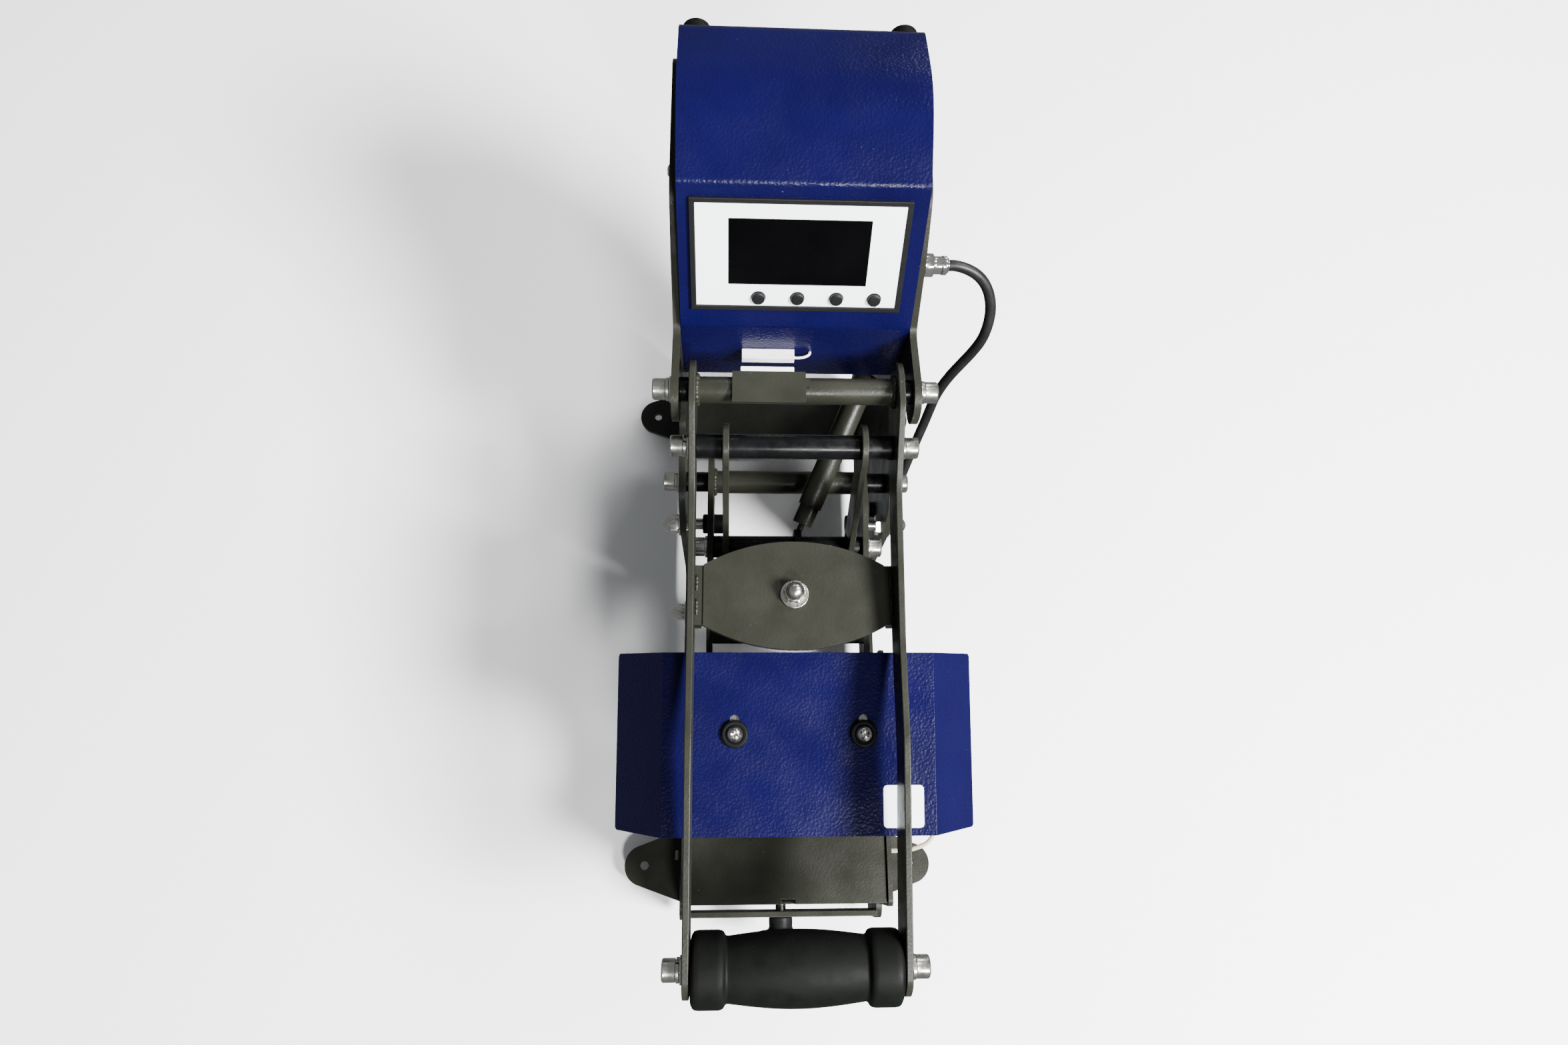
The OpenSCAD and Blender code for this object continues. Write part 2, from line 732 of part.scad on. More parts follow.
module link_shaft_bolts() {
    color("#c9ccd0") both_sides() {
        rod_x(press_out, press_out + washer_t, 7.4, link_pin);
        difference() {
            rod_x(press_out + washer_t, press_out + washer_t + 7, bolt_head_r, link_pin);
            translate([press_out + washer_t + 3, link_pin[0], link_pin[1]]) rotate([0, 90, 0])
                cylinder(r = socket_r, h = 6, $fn = 6);
        }
        rod_x(press_out - 24, press_out + washer_t + 1, bolt_r, link_pin);
    }
}

// Cross plate under the buffer, and the plate that holds jaw and cover
module head_plates() {
    color("#2c2e2c") {
        translate([-press_in, -54.5, buffer_z - 4]) cube([2 * press_in, 39, 4]);
        on_head() difference() {
            translate([-press_out, -36, head_plate_w]) cube([2 * press_out, 70, 3]);
            for (s = [-1, 1]) translate([cover_x + s * mount_dx, mount_u, head_plate_w - 1])
                cylinder(r = 2.5, h = 6);
        }
    }
}

// Keyhole that a cover grommet sits in, the narrow end to the rear
module keyhole() {
    cylinder(r = 6, h = 6);
    translate([-2.8, 0, 0]) cube([5.6, 8.6, 6]);
    translate([0, 8.6, 0]) cylinder(r = 2.8, h = 6);
}

module head_cover() {
    flat = cover_flat_w / 2;
    corner_r = 3;
    flange = 9;
    wing = [wing_l * cos(wing_bend), -wing_l * sin(wing_bend)];
    under = sheet_t * [-sin(wing_bend), -cos(wing_bend)];
    profile = [[flat, 0], [flat, 0] + wing, [flat, 0] + wing + under,
        [flat - sheet_t * tan(wing_bend / 2), -sheet_t]];
    color("#1d2a6b") on_head() translate([cover_x, cover_u, 0]) difference() {
        union() {
            translate([0, cover_l / 2, 0]) rotate([90, 0, 0]) linear_extrude(cover_l)
                polygon([each profile, for (i = [3:-1:0]) [-profile[i][0], profile[i][1]]]);
            for (y = [-cover_l / 2, cover_l / 2 - sheet_t])
                translate([1 - flat, y, -flange]) cube([2 * flat - 2, sheet_t, flange - 0.5]);
        }
        for (s = [-1, 1]) translate([s * mount_dx, mount_u - cover_u, -3]) keyhole();
        both_sides() for (s = [-1, 1]) translate([flat, 0, 0]) rotate([0, wing_bend, 0])
            translate([wing_l - corner_r, s * (cover_l / 2 - corner_r), -2 * sheet_t]) difference() {
                translate([0, s > 0 ? 0 : -corner_r - 1, 0]) cube([corner_r + 1, corner_r + 1, 3 * sheet_t]);
                translate([0, 0, -1]) cylinder(r = corner_r + 0.2, h = 3 * sheet_t + 2);
            }
    }
}

module upper_saddle() {
    color("#8a8c8a") on_head() {
        translate([0, upper_jaw_u, upper_jaw_w])
            jaw_piece(jaw_r, jaw_r + jaw_shell_t, jaw_half_angle, jaw_l / 2, true);
        for (x = [-30, 30]) translate([x - 8, upper_jaw_u - 9, head_plate_w - 2]) cube([16, 18, 2]);
    }
}

module upper_heater_pad() {
    color("#b5482a") on_head() translate([0, upper_jaw_u, upper_jaw_w])
        jaw_piece(pad_r, jaw_r, jaw_half_angle - 1, jaw_l / 2 - 1.5, true);
}

module cover_grommets() {
    color("#141414") on_head() for (s = [-1, 1])
        translate([cover_x + s * mount_dx, mount_u, head_plate_w + 3])
        difference() {
            union() {
                cylinder(r = 8, h = 7 - sheet_t);
                cylinder(r = 5.8, h = 8);
                translate([0, 0, 7]) cylinder(r = 8.2, h = 3);
            }
            translate([0, 0, -1]) cylinder(r = 2.6, h = 13);
        }
}

module cover_screws() {
    color("#d3d6da") on_head() for (s = [-1, 1]) translate([cover_x + s * mount_dx, mount_u, 0]) {
        translate([0, 0, head_plate_w]) cylinder(r = 2.45, h = 14);
        difference() {
            intersection() {
                translate([0, 0, 3]) cylinder(r = 5.4, h = 4.6);
                translate([0, 0, 0.6]) sphere(r = 7);
            }
            translate([0, 0, 5]) cylinder(r = 1.8, h = 4, $fn = 6);
        }
    }
}

module blank_label() {
    color("#e8eaec") on_head() translate([0, 0, 0]) linear_extrude(0.3)
        polygon(rounded([[54, -49, 2.5], [54, -24, 2.5], [78.5, -24, 2.5], [78.5, -49, 2.5]]));
}

// Spring guard tube: its own frame starts at the anchor, z along the tube to the hook
spring_from = [60, spring_pin[0], spring_pin[1]];
spring_to = [3, link_pin[0], link_pin[1]];
spring_dir = unit(spring_to - spring_from);
spring_len = norm(spring_to - spring_from);

module on_spring() {
    translate(spring_from) rotate([0, acos(spring_dir[2]), atan2(spring_dir[1], spring_dir[0])]) children();
}

module spring_tube() {
    eye_r = 5.5;
    color("#4b4d48") difference() {
        union() {
            rod_x(57.5, 62.5, eye_r, spring_pin);
            on_spring() {
                translate([0, 0, 3]) cylinder(r = 3, h = 16);
                translate([0, 0, 18]) cylinder(r = 8, h = 98);
            }
        }
        rod_x(50, 70, bolt_r + running, spring_pin);
        on_spring() translate([0, 0, 22]) cylinder(r = 6.8, h = 100);
    }
}

// Rod that pulls on the link shaft, with a sleeve that slides in the guard tube
module pull_rod() {
    ring_r = shaft_r + eye_play;
    color("#17181a") difference() {
        union() {
            on_spring() translate([0, 0, 50]) cylinder(r = 2, h = spring_len - 50 - ring_r - 1);
            on_spring() translate([0, 0, 50]) cylinder(r = 5.5, h = 4);
            on_spring() difference() {
                translate([0, 0, 104]) cylinder(r = 6.75, h = 25);
                translate([0, 0, 106]) cylinder(r = 5.7, h = 24);
            }
            rod_x(4, 9, ring_r + 3, link_pin);
        }
        rod_x(0, 12, ring_r, link_pin);
    }
}

// Star knob with its threaded rod through the front bar
module adjusting_knob() {
    color("#161616") translate([0, -231.6, screw_z]) rotate([90, 0, 0]) {
        cylinder(r = 9, h = 9);
        translate([0, 0, 9]) difference() {
            cylinder(r = 17, h = 13);
            for (k = [0:5]) rotate(60 * k + 30) translate([19.5, 0, -1]) cylinder(r = 7, h = 15);
        }
    }
    color("#d3d6da") translate([0, -222.4, screw_z]) rotate([90, 0, 0]) cylinder(r = bolt_r, h = 9.4);
}

module screw_pad() {
    color("#d3d6da") translate([0, -219.2, screw_z]) rotate([90, 0, 0]) cylinder(r = 6, h = 3);
}

// One key: a cap that stands out of the face plate, and its stem to the board's switch
module key(i) {
    color("#101114") on_panel() translate([key_x[i], key_y, 0]) {
        translate([0, 0, 0.3]) cylinder(d = key_d, h = 3.6);
        translate([0, 0, -2.4]) cylinder(r = 1.6, h = 3);
    }
}

module key_up() {
    key(0);
}

module key_enter() {
    key(1);
}

module key_down() {
    key(2);
}

module key_reset() {
    key(3);
}

side_plate_left();
side_plate_right();
base_plates();
rubber_feet();
front_cross_bar();
bed_box();
bed_cheeks();
lower_saddle();
lower_heater_pad();
heater_lead();
housing_cover();
rear_panel();
display_bezel();
face_plate();
display_window();
circuit_board();
power_supply();
power_inlet();
power_rocker();
reed_switch();
cable_socket();
cable_plug();
heater_cable();
cable_gland();
housing_screws();
pivot_bolts();
pivot_spacers();
side_studs();
stop_bumpers();
lever_arms();
pivot_tube();
magnet_bracket();
magnet();
oval_brace();
buffer_stud();
rubber_buffer();
toggle_shaft();
lever_bolts();
handle_core();
handle_grip();
toggle_links();
press_arms();
press_pivot_tube();
link_shaft();
link_shaft_bolts();
head_plates();
head_cover();
upper_saddle();
upper_heater_pad();
cover_grommets();
cover_screws();
blank_label();
spring_tube();
pull_rod();
adjusting_knob();
screw_pad();
key_up();
key_enter();
key_down();
key_reset();
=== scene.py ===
"""Looks of the mug heat press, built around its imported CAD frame. Metres, in the part's own frame."""
import json
import math
import random

import bmesh
import bpy
from mathutils import Matrix, Vector

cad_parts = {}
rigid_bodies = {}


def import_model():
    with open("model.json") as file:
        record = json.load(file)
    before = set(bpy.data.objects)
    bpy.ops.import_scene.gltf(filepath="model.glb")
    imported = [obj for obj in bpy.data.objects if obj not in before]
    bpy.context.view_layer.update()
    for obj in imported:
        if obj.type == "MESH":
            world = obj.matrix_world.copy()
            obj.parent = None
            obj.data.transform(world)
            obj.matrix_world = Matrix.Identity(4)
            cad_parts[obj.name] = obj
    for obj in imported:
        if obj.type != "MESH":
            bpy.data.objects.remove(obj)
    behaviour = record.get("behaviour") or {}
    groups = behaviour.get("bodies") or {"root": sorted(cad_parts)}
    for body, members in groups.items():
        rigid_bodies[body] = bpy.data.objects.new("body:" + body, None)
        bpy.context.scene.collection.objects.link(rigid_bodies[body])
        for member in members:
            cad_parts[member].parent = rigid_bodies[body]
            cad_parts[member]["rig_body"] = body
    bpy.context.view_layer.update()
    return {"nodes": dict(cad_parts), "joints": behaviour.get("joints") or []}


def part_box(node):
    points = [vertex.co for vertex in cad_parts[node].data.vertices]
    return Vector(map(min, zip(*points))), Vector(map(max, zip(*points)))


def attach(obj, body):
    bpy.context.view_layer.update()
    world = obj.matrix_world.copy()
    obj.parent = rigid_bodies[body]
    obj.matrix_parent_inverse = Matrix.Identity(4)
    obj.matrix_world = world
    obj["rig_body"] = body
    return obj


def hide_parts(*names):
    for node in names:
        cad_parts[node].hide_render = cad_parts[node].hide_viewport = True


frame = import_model()

MM = 0.001
TAU = 2 * math.pi
FINE = 96  # points round a ring that carries flats, knurls or a recess
KNURLS = 48
KNURL_DEPTH = 0.018
BEVEL_DEG = 35  # edges sharper than this are rounded


def mm(*values):
    """A vector given in millimetres."""
    return Vector(values) * MM


def centre(node):
    """Middle of a CAD node's box."""
    low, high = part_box(node)
    return (low + high) / 2


def joint_at(name):
    """Where a hinge of the frame lies."""
    return Vector(next(j["pos_m"] for j in frame["joints"] if j["name"] == name))


# ---------------------------------------------------------------- places taken from the frame
SIDE_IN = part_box("side_plate_right")[0].x
SIDE_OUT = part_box("side_plate_right")[1].x
LEVER_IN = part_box("pivot_tube")[1].x
LEVER_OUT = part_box("lever_arms")[1].x
PRESS_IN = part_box("link_shaft")[1].x
PRESS_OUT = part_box("press_arms")[1].x
LEVER_PIVOT = joint_at("lever_lift")
PRESS_PIVOT = joint_at("head_lift")
TOGGLE_PIN = joint_at("link_swing")
SPRING_PIN = joint_at("spring_swing")
LINK_PIN = centre("link_shaft")
HANDLE_PIN = centre("handle_core")
STOP_PIN = centre("stop_bumpers")
TIE_PIN = mm(0, 2, 41)
SOCKET = mm(SIDE_OUT / MM, 158, 318)
GLAND = mm(SIDE_OUT / MM, 62, 130)
SCREW_Z = centre("adjusting_knob").z
HEAD = Matrix.Translation(mm(0, -125, 238.5)) @ Matrix.Rotation(math.radians(9.5), 4, "X")
PANEL = Matrix.Translation(mm(0, 116, 313)) @ Matrix.Rotation(math.atan2(84, 41), 4, "X")

# ---------------------------------------------------------------- camera
FOCAL_PX = 1537
IMAGE_W = 2352
camera_data = bpy.data.cameras.new("photo_camera")
camera_data.sensor_width = 36
camera_data.lens = 36 * FOCAL_PX / IMAGE_W
camera_data.shift_x = -0.0013
camera_data.clip_start = 0.01
camera = bpy.data.objects.new("photo_camera", camera_data)
bpy.context.scene.collection.objects.link(camera)
camera.matrix_world = (
    Matrix.Translation(mm(-38, -188, 866))
    @ Matrix.Rotation(math.radians(18), 4, "X")
    @ Matrix.Rotation(math.radians(-3.02), 4, "Y")
    @ Matrix.Rotation(math.radians(0.395), 4, "Z")
)
bpy.context.scene.camera = camera


# ---------------------------------------------------------------- mesh helpers
def add_mesh(name, verts, faces, material, smooth_deg=35):
    """A new object at the origin from points in the part's frame."""
    mesh = bpy.data.meshes.new(name)
    mesh.from_pydata([tuple(v) for v in verts], [], faces)
    bm = bmesh.new()
    bm.from_mesh(mesh)
    bmesh.ops.recalc_face_normals(bm, faces=bm.faces)
    bm.to_mesh(mesh)
    bm.free()
    mesh.materials.append(material)
    mesh.shade_smooth()
    mesh.set_sharp_from_angle(angle=math.radians(smooth_deg))
    obj = bpy.data.objects.new(name, mesh)
    bpy.context.scene.collection.objects.link(obj)
    return obj


def loft(rings, closed=False):
    """Points and faces of a skin through rings of equal length; closed joins the last ring to the first."""
    n = len(rings[0])
    verts = [p for ring in rings for p in ring]
    count = len(rings) if closed else len(rings) - 1
    faces = []
    for i in range(count):
        a, b = i * n, (i + 1) % len(rings) * n
        faces += [(a + k, a + (k + 1) % n, b + (k + 1) % n, b + k) for k in range(n)]
    if not closed:
        faces += [tuple(range(n))[::-1], tuple(range((len(rings) - 1) * n, len(rings) * n))]
    return verts, faces


def place(origin, axis):
    """Matrix that takes local z to axis and the local origin to origin."""
    return Matrix.Translation(origin) @ Vector(axis).to_track_quat("Z", "Y").to_matrix().to_4x4()


def round_ring(matrix, h, r, shape=None, n=64):
    """Ring of n points at height h in matrix's frame, its radius r or shape(angle, r), in mm."""
    points = []
    for k in range(n):
        t = TAU * k / n
        rr = shape(t, r) if shape else r
        points.append(matrix @ mm(rr * math.cos(t), rr * math.sin(t), h))
    return points


def hexagon(t, r):
    """Radius at angle t of a hexagon with flats r from its middle."""
    return r / math.cos((t + math.pi / 6) % (math.pi / 3) - math.pi / 6)


def cross(t, r):
    """Radius at angle t of a cross recess with arms r long."""
    half = 0.3 * r
    c, s = abs(math.cos(t)), abs(math.sin(t))
    return min(r, half / max(min(c, s), 1e-6))


def chamfered(flat):
    """Shape of a nut with flats flat from its middle, its corners cut to the ring's own radius."""
    return lambda t, r: min(hexagon(t, flat), r)


def knurl(t, r):
    """Radius of a knurled cylinder, with KNURLS shallow grooves."""
    return r * (1 - KNURL_DEPTH * (math.cos(t * KNURLS) > 0))


def rounded_profile(points, radius=0.4, steps=3):
    """Profile of (r, h) points in mm, with every corner between its two ends rounded."""
    out = [points[0]]
    for a, b, c in zip(points, points[1:], points[2:]):
        pa, pb, pc = Vector(a), Vector(b), Vector(c)
        reach = min(radius, (pa - pb).length / 2.2, (pc - pb).length / 2.2)
        if reach < 0.02:
            out.append(b)
            continue
        start = pb + (pa - pb).normalized() * reach
        end = pb + (pc - pb).normalized() * reach
        for i in range(steps + 1):
            t = i / steps
            out.append(tuple(start * (1 - t) ** 2 + pb * 2 * t * (1 - t) + end * t * t))
    out.append(points[-1])
    return out


def turned(name, origin, axis, profile, material, radius=0.4, n=64):
    """A lathe piece: profile is (r, h) in mm along axis from origin, round corners of radius."""
    matrix = place(origin, axis)
    rings = [round_ring(matrix, h, max(r, 0.01), n=n) for r, h in rounded_profile(profile, radius)]
    return add_mesh(name, *loft(rings), material)


def joined(name, pieces):
    """One object from the pieces, which are removed; it takes the first one's material."""
    bm = bmesh.new()
    for piece in pieces:
        bm.from_mesh(piece.data)
    mesh = bpy.data.meshes.new(name)
    bm.to_mesh(mesh)
    bm.free()
    mesh.materials.append(pieces[0].data.materials[0])
    for piece in pieces:
        bpy.data.objects.remove(piece)
    obj = bpy.data.objects.new(name, mesh)
    bpy.context.scene.collection.objects.link(obj)
    return obj


def prism(name, matrix, outline, h0, h1, material, bevel=0.0):
    """Extruded outline of (x, y) in mm in matrix's frame, its edges rounded by bevel mm."""
    rings = [[matrix @ mm(x, y, h) for x, y in outline] for h in (h0, h1)]
    obj = add_mesh(name, *loft(rings), material, 30)
    if bevel:
        soften(obj, bevel)
    return obj


def soften(obj, width):
    """Rounded edges, as a bevel in millimetres."""
    mod = obj.modifiers.new("edges", "BEVEL")
    mod.width = width * MM
    mod.segments = 2
    mod.limit_method = "ANGLE"
    mod.angle_limit = math.radians(BEVEL_DEG)
    mod.harden_normals = True
    mod.use_clamp_overlap = True


def tube_path(points, per_span):
    """A smooth route through points, in per_span steps from each to the next."""
    pts = [Vector(p) for p in points]
    out = []
    for i in range(len(pts) - 1):
        p0, p1, p2, p3 = pts[max(i - 1, 0)], pts[i], pts[i + 1], pts[min(i + 2, len(pts) - 1)]
        for k in range(per_span):
            t = k / per_span
            out.append(0.5 * (2 * p1 + (p2 - p0) * t + (2 * p0 - 5 * p1 + 4 * p2 - p3) * t * t
                              + (3 * p1 - p0 - 3 * p2 + p3) * t ** 3))
    return out + [pts[-1]]


def curve_tube(name, points, diameter, material):
    """A cord drawn as one open poly spline."""
    data = bpy.data.curves.new(name, "CURVE")
    data.dimensions = "3D"
    data.bevel_depth = diameter / 2
    data.bevel_resolution = 6
    data.use_fill_caps = True
    spline = data.splines.new("POLY")
    spline.points.add(len(points) - 1)
    for item, p in zip(spline.points, points):
        item.co = (*p, 1)
    spline.use_smooth = True
    data.materials.append(material)
    obj = bpy.data.objects.new(name, data)
    bpy.context.scene.collection.objects.link(obj)
    return obj


def crisp(node, material, slot, width):
    """Stands for a CAD node: the same solid with its edges rounded by width mm."""
    source = frame["nodes"][node]
    bm = bmesh.new()
    bm.from_mesh(source.data)
    bmesh.ops.remove_doubles(bm, verts=bm.verts, dist=2e-6)
    bmesh.ops.dissolve_limit(bm, angle_limit=math.radians(0.6), verts=bm.verts, edges=bm.edges,
                             use_dissolve_boundaries=False)
    bmesh.ops.recalc_face_normals(bm, faces=bm.faces)
    mesh = bpy.data.meshes.new(node + "_skin")
    bm.to_mesh(mesh)
    bm.free()
    for name in ("custom_normal", "sharp_edge", "sharp_face"):
        if name in mesh.attributes:
            mesh.attributes.remove(mesh.attributes[name])
    mesh.materials.clear()
    mesh.materials.append(material)
    mesh.shade_smooth()
    obj = bpy.data.objects.new(node + "_skin", mesh)
    bpy.context.scene.collection.objects.link(obj)
    soften(obj, width)
    stand_for(obj, slot, source["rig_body"], node)


def stand_for(obj, slot, body, *nodes):
    """Rides a piece on its body and hides the CAD nodes it stands for; slot is not used."""
    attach(obj, body)
    if nodes:
        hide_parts(*nodes)


# ---------------------------------------------------------------- material helpers
class Recipe:
    """Builds one procedural material; positions are the part's own metres."""

    def __init__(self, name, color, rough, metal=0.0):
        self.mat = bpy.data.materials.new(name)
        self.mat.use_nodes = True
        self.tree = self.mat.node_tree
        self.shader = self.tree.nodes["Principled BSDF"]
        self.color, self.rough = color, rough
        self.set("Base Color", (*color, 1))
        self.set("Roughness", rough)
        self.set("Metallic", metal)
        self.coords = self.node("ShaderNodeTexCoord").outputs["Object"]
        self.height = None

    def node(self, kind, **values):
        """Adds a node and sets its properties."""
        made = self.tree.nodes.new(kind)
        for key, value in values.items():
            setattr(made, key, value)
        return made

    def link(self, a, b):
        """Links socket a to socket b."""
        self.tree.links.new(a, b)

    def set(self, socket, value):
        """Sets a value on the shader's own socket."""
        self.shader.inputs[socket].default_value = value
        return self

    def stretched(self, scale):
        """Coordinates scaled along each axis."""
        made = self.node("ShaderNodeMapping")
        self.link(self.coords, made.inputs["Vector"])
        made.inputs["Scale"].default_value = scale
        return made.outputs["Vector"]

    def noise(self, scale, detail, rough=0.5, stretch=None):
        """Soft noise, with about scale lumps to the metre."""
        made = self.node("ShaderNodeTexNoise")
        self.link(self.stretched(stretch) if stretch else self.coords, made.inputs["Vector"])
        made.inputs["Scale"].default_value = scale
        made.inputs["Detail"].default_value = detail
        made.inputs["Roughness"].default_value = rough
        return made.outputs["Fac"]

    def cells(self, scale, warp, smooth=0.6):
        """Rounded cells whose outlines are bent by up to warp metres."""
        made = self.node("ShaderNodeTexVoronoi", feature="SMOOTH_F1")
        bend = self.node("ShaderNodeTexNoise")
        self.link(self.coords, bend.inputs["Vector"])
        bend.inputs["Scale"].default_value = scale * 0.8
        push = self.node("ShaderNodeVectorMath", operation="MULTIPLY_ADD")
        self.link(bend.outputs["Color"], push.inputs[0])
        push.inputs[1].default_value = (warp, warp, warp)
        self.link(self.coords, push.inputs[2])
        self.link(push.outputs[0], made.inputs["Vector"])
        made.inputs["Scale"].default_value = scale
        made.inputs["Smoothness"].default_value = smooth
        return made.outputs["Distance"]

    def ramp(self, fac, stops):
        """Colour from one stop to the other as fac grows."""
        made = self.node("ShaderNodeValToRGB")
        for element, (at, color) in zip(made.color_ramp.elements, stops):
            element.position = at
            element.color = (*color, 1)
        self.link(fac, made.inputs["Fac"])
        return made.outputs["Color"]

    def span(self, fac, low, high, out_low, out_high):
        """fac between low and high, taken to between out_low and out_high."""
        made = self.node("ShaderNodeMapRange")
        self.link(fac, made.inputs["Value"])
        for key, value in zip(("From Min", "From Max", "To Min", "To Max"), (low, high, out_low, out_high)):
            made.inputs[key].default_value = value
        return made.outputs["Result"]

    def mottle(self, scale, amount):
        """Base colour that drifts a little lighter and darker."""
        fac = self.noise(scale, 4, 0.6)
        dark = tuple(c * (1 - amount) for c in self.color)
        light = tuple(min(c * (1 + amount), 1) for c in self.color)
        self.base = self.ramp(fac, [(0.3, dark), (0.7, light)])
        self.link(self.base, self.shader.inputs["Base Color"])
        return self

    def specks(self, scale, color, size=0.06, share=0.5):
        """Small light flecks scattered over the base colour."""
        spots = self.node("ShaderNodeTexVoronoi", feature="F1")
        self.link(self.coords, spots.inputs["Vector"])
        spots.inputs["Scale"].default_value = scale
        dot = self.span(spots.outputs["Distance"], size * 0.5, size, 1, 0)
        keep = self.span(self.noise(scale * 0.3, 1), 0.55, 0.65, 0, share)
        both = self.node("ShaderNodeMath", operation="MULTIPLY")
        self.link(dot, both.inputs[0])
        self.link(keep, both.inputs[1])
        mix = self.node("ShaderNodeMix", data_type="RGBA")
        self.link(both.outputs[0], mix.inputs["Factor"])
        self.link(self.base, mix.inputs[6])
        mix.inputs[7].default_value = (*color, 1)
        self.base = mix.outputs[2]
        self.link(self.base, self.shader.inputs["Base Color"])
        return self

    def shine(self, scale, spread):
        """Roughness that varies by spread."""
        low, high = max(self.rough - spread, 0.03), min(self.rough + spread, 1)
        self.link(self.span(self.noise(scale, 3), 0.3, 0.7, low, high), self.shader.inputs["Roughness"])
        return self

    def relief(self, height, depth, strength):
        """Bump of depth metres; several calls stack."""
        made = self.node("ShaderNodeBump")
        made.inputs["Strength"].default_value = strength
        made.inputs["Distance"].default_value = depth
        self.link(height, made.inputs["Height"])
        if self.height:
            self.link(self.height, made.inputs["Normal"])
        self.height = made.outputs["Normal"]
        self.link(self.height, self.shader.inputs["Normal"])
        return self


def hammered_paint():
    """Dark green-grey powder coat with a low hammered grain."""
    r = Recipe("steel_grey_paint", (0.0130, 0.0134, 0.0098), 0.36)
    r.set("Specular IOR Level", 0.16)
    r.mottle(35, 0.16).specks(160, (0.24, 0.24, 0.22), 0.05)
    r.shine(60, 0.07)
    r.relief(r.cells(700, warp=0.0009), 0.0001, 0.7)
    r.relief(r.noise(1500, 2), 0.00005, 0.5)
    return r.mat


def wrinkle_blue():
    """Deep blue powder coat with an orange-peel grain."""
    r = Recipe("blue_paint", (0.0021, 0.0014, 0.0232), 0.27)
    r.set("Specular IOR Level", 0.11)
    r.mottle(14, 0.18).specks(130, (0.2, 0.23, 0.4), 0.04)
    r.shine(45, 0.06)
    r.relief(r.cells(600, warp=0.0012, smooth=0.5), 0.0002, 0.8)
    r.relief(r.noise(1200, 3), 0.00006, 0.5)
    return r.mat


def satin_black_sheet():
    """Satin coated dark sheet."""
    r = Recipe("dark_sheet", (0.022, 0.023, 0.024), 0.5)
    r.mottle(30, 0.2).shine(90, 0.08)
    r.relief(r.noise(1300, 3), 0.00008, 0.6)
    return r.mat


def zinc_plate():
    """Bright zinc plate of the screws and nuts."""
    r = Recipe("zinc_hardware", (0.53, 0.52, 0.47), 0.25, 1)
    r.mottle(220, 0.1).shine(500, 0.05)
    r.relief(r.noise(900, 3), 0.00002, 0.16)
    return r.mat


def nickel_plate():
    """Polished plate of the cable's connector."""
    r = Recipe("chrome_plating", (0.78, 0.76, 0.72), 0.13, 1)
    r.mottle(150, 0.06).shine(400, 0.05)
    r.relief(r.noise(700, 2), 0.00001, 0.15)
    return r.mat


def black_oxide():
    """Blackened steel, brushed round its axis."""
    r = Recipe("black_oxide_steel", (0.003, 0.0031, 0.0033), 0.28)
    r.set("Specular IOR Level", 0.16)
    r.mottle(70, 0.3).shine(160, 0.1)
    r.relief(r.noise(600, 4, stretch=(0.08, 1, 1)), 0.00005, 0.5)
    return r.mat


def rolled_steel():
    """Bare steel with drawn marks."""
    r = Recipe("bare_steel", (0.36, 0.355, 0.34), 0.38, 1)
    r.mottle(60, 0.18).shine(220, 0.1)
    r.relief(r.noise(420, 5, stretch=(0.05, 1, 1)), 0.00005, 0.6)
    return r.mat


def moulded_rubber():
    """Matt black rubber with a fine grain."""
    r = Recipe("black_rubber", (0.0026, 0.0030, 0.0025), 0.55)
    r.set("Specular IOR Level", 0.06)
    r.mottle(40, 0.28).specks(220, (0.12, 0.12, 0.11), 0.05, 0.4)
    r.shine(80, 0.1)
    r.relief(r.cells(1900, warp=0.0002), 0.00006, 0.6)
    r.relief(r.noise(140, 3), 0.0001, 0.25)
    return r.mat


def cable_jacket():
    """Slightly uneven black jacket."""
    r = Recipe("cable_jacket", (0.006, 0.0062, 0.006), 0.42)
    r.set("Specular IOR Level", 0.2)
    r.mottle(60, 0.3).shine(150, 0.1)
    r.relief(r.noise(260, 4), 0.00018, 0.5)
    return r.mat


def grained_plastic(name, color, rough, shiny=0.5):
    """Plastic with a fine moulded grain."""
    r = Recipe(name, color, rough)
    r.set("Specular IOR Level", shiny)
    r.mottle(50, 0.1).shine(300, 0.06)
    r.relief(r.noise(1700, 3), 0.00005, 0.5)
    return r.mat


def white_film():
    """Satin white film of the panel and the label."""
    r = Recipe("white_face", (0.90, 0.93, 0.94), 0.42)
    r.mottle(20, 0.025).shine(60, 0.05)
    r.relief(r.noise(1900, 2), 0.00002, 0.4)
    return r.mat


def dark_window():
    """Unlit display behind clear plastic."""
    r = Recipe("display_glass", (0.001, 0.001, 0.0012), 0.07)
    r.mottle(25, 0.3).shine(35, 0.035)
    r.relief(r.noise(18, 1), 0.00004, 0.3)
    r.set("Specular IOR Level", 0.05)
    return r.mat


def woven(name, color, scale, depth, rough):
    """Cloth-marked surface: two crossed sets of threads."""
    r = Recipe(name, color, rough)
    r.mottle(120, 0.2)
    waves = []
    for direction in ("X", "Y"):
        wave = r.node("ShaderNodeTexWave", wave_type="BANDS", bands_direction=direction)
        r.link(r.coords, wave.inputs["Vector"])
        wave.inputs["Scale"].default_value = scale
        wave.inputs["Distortion"].default_value = 0.6
        waves.append(wave.outputs["Fac"])
    both = r.node("ShaderNodeMath", operation="MULTIPLY")
    r.link(waves[0], both.inputs[0])
    r.link(waves[1], both.inputs[1])
    r.relief(both.outputs[0], depth, 0.8)
    r.shine(200, 0.08)
    return r.mat


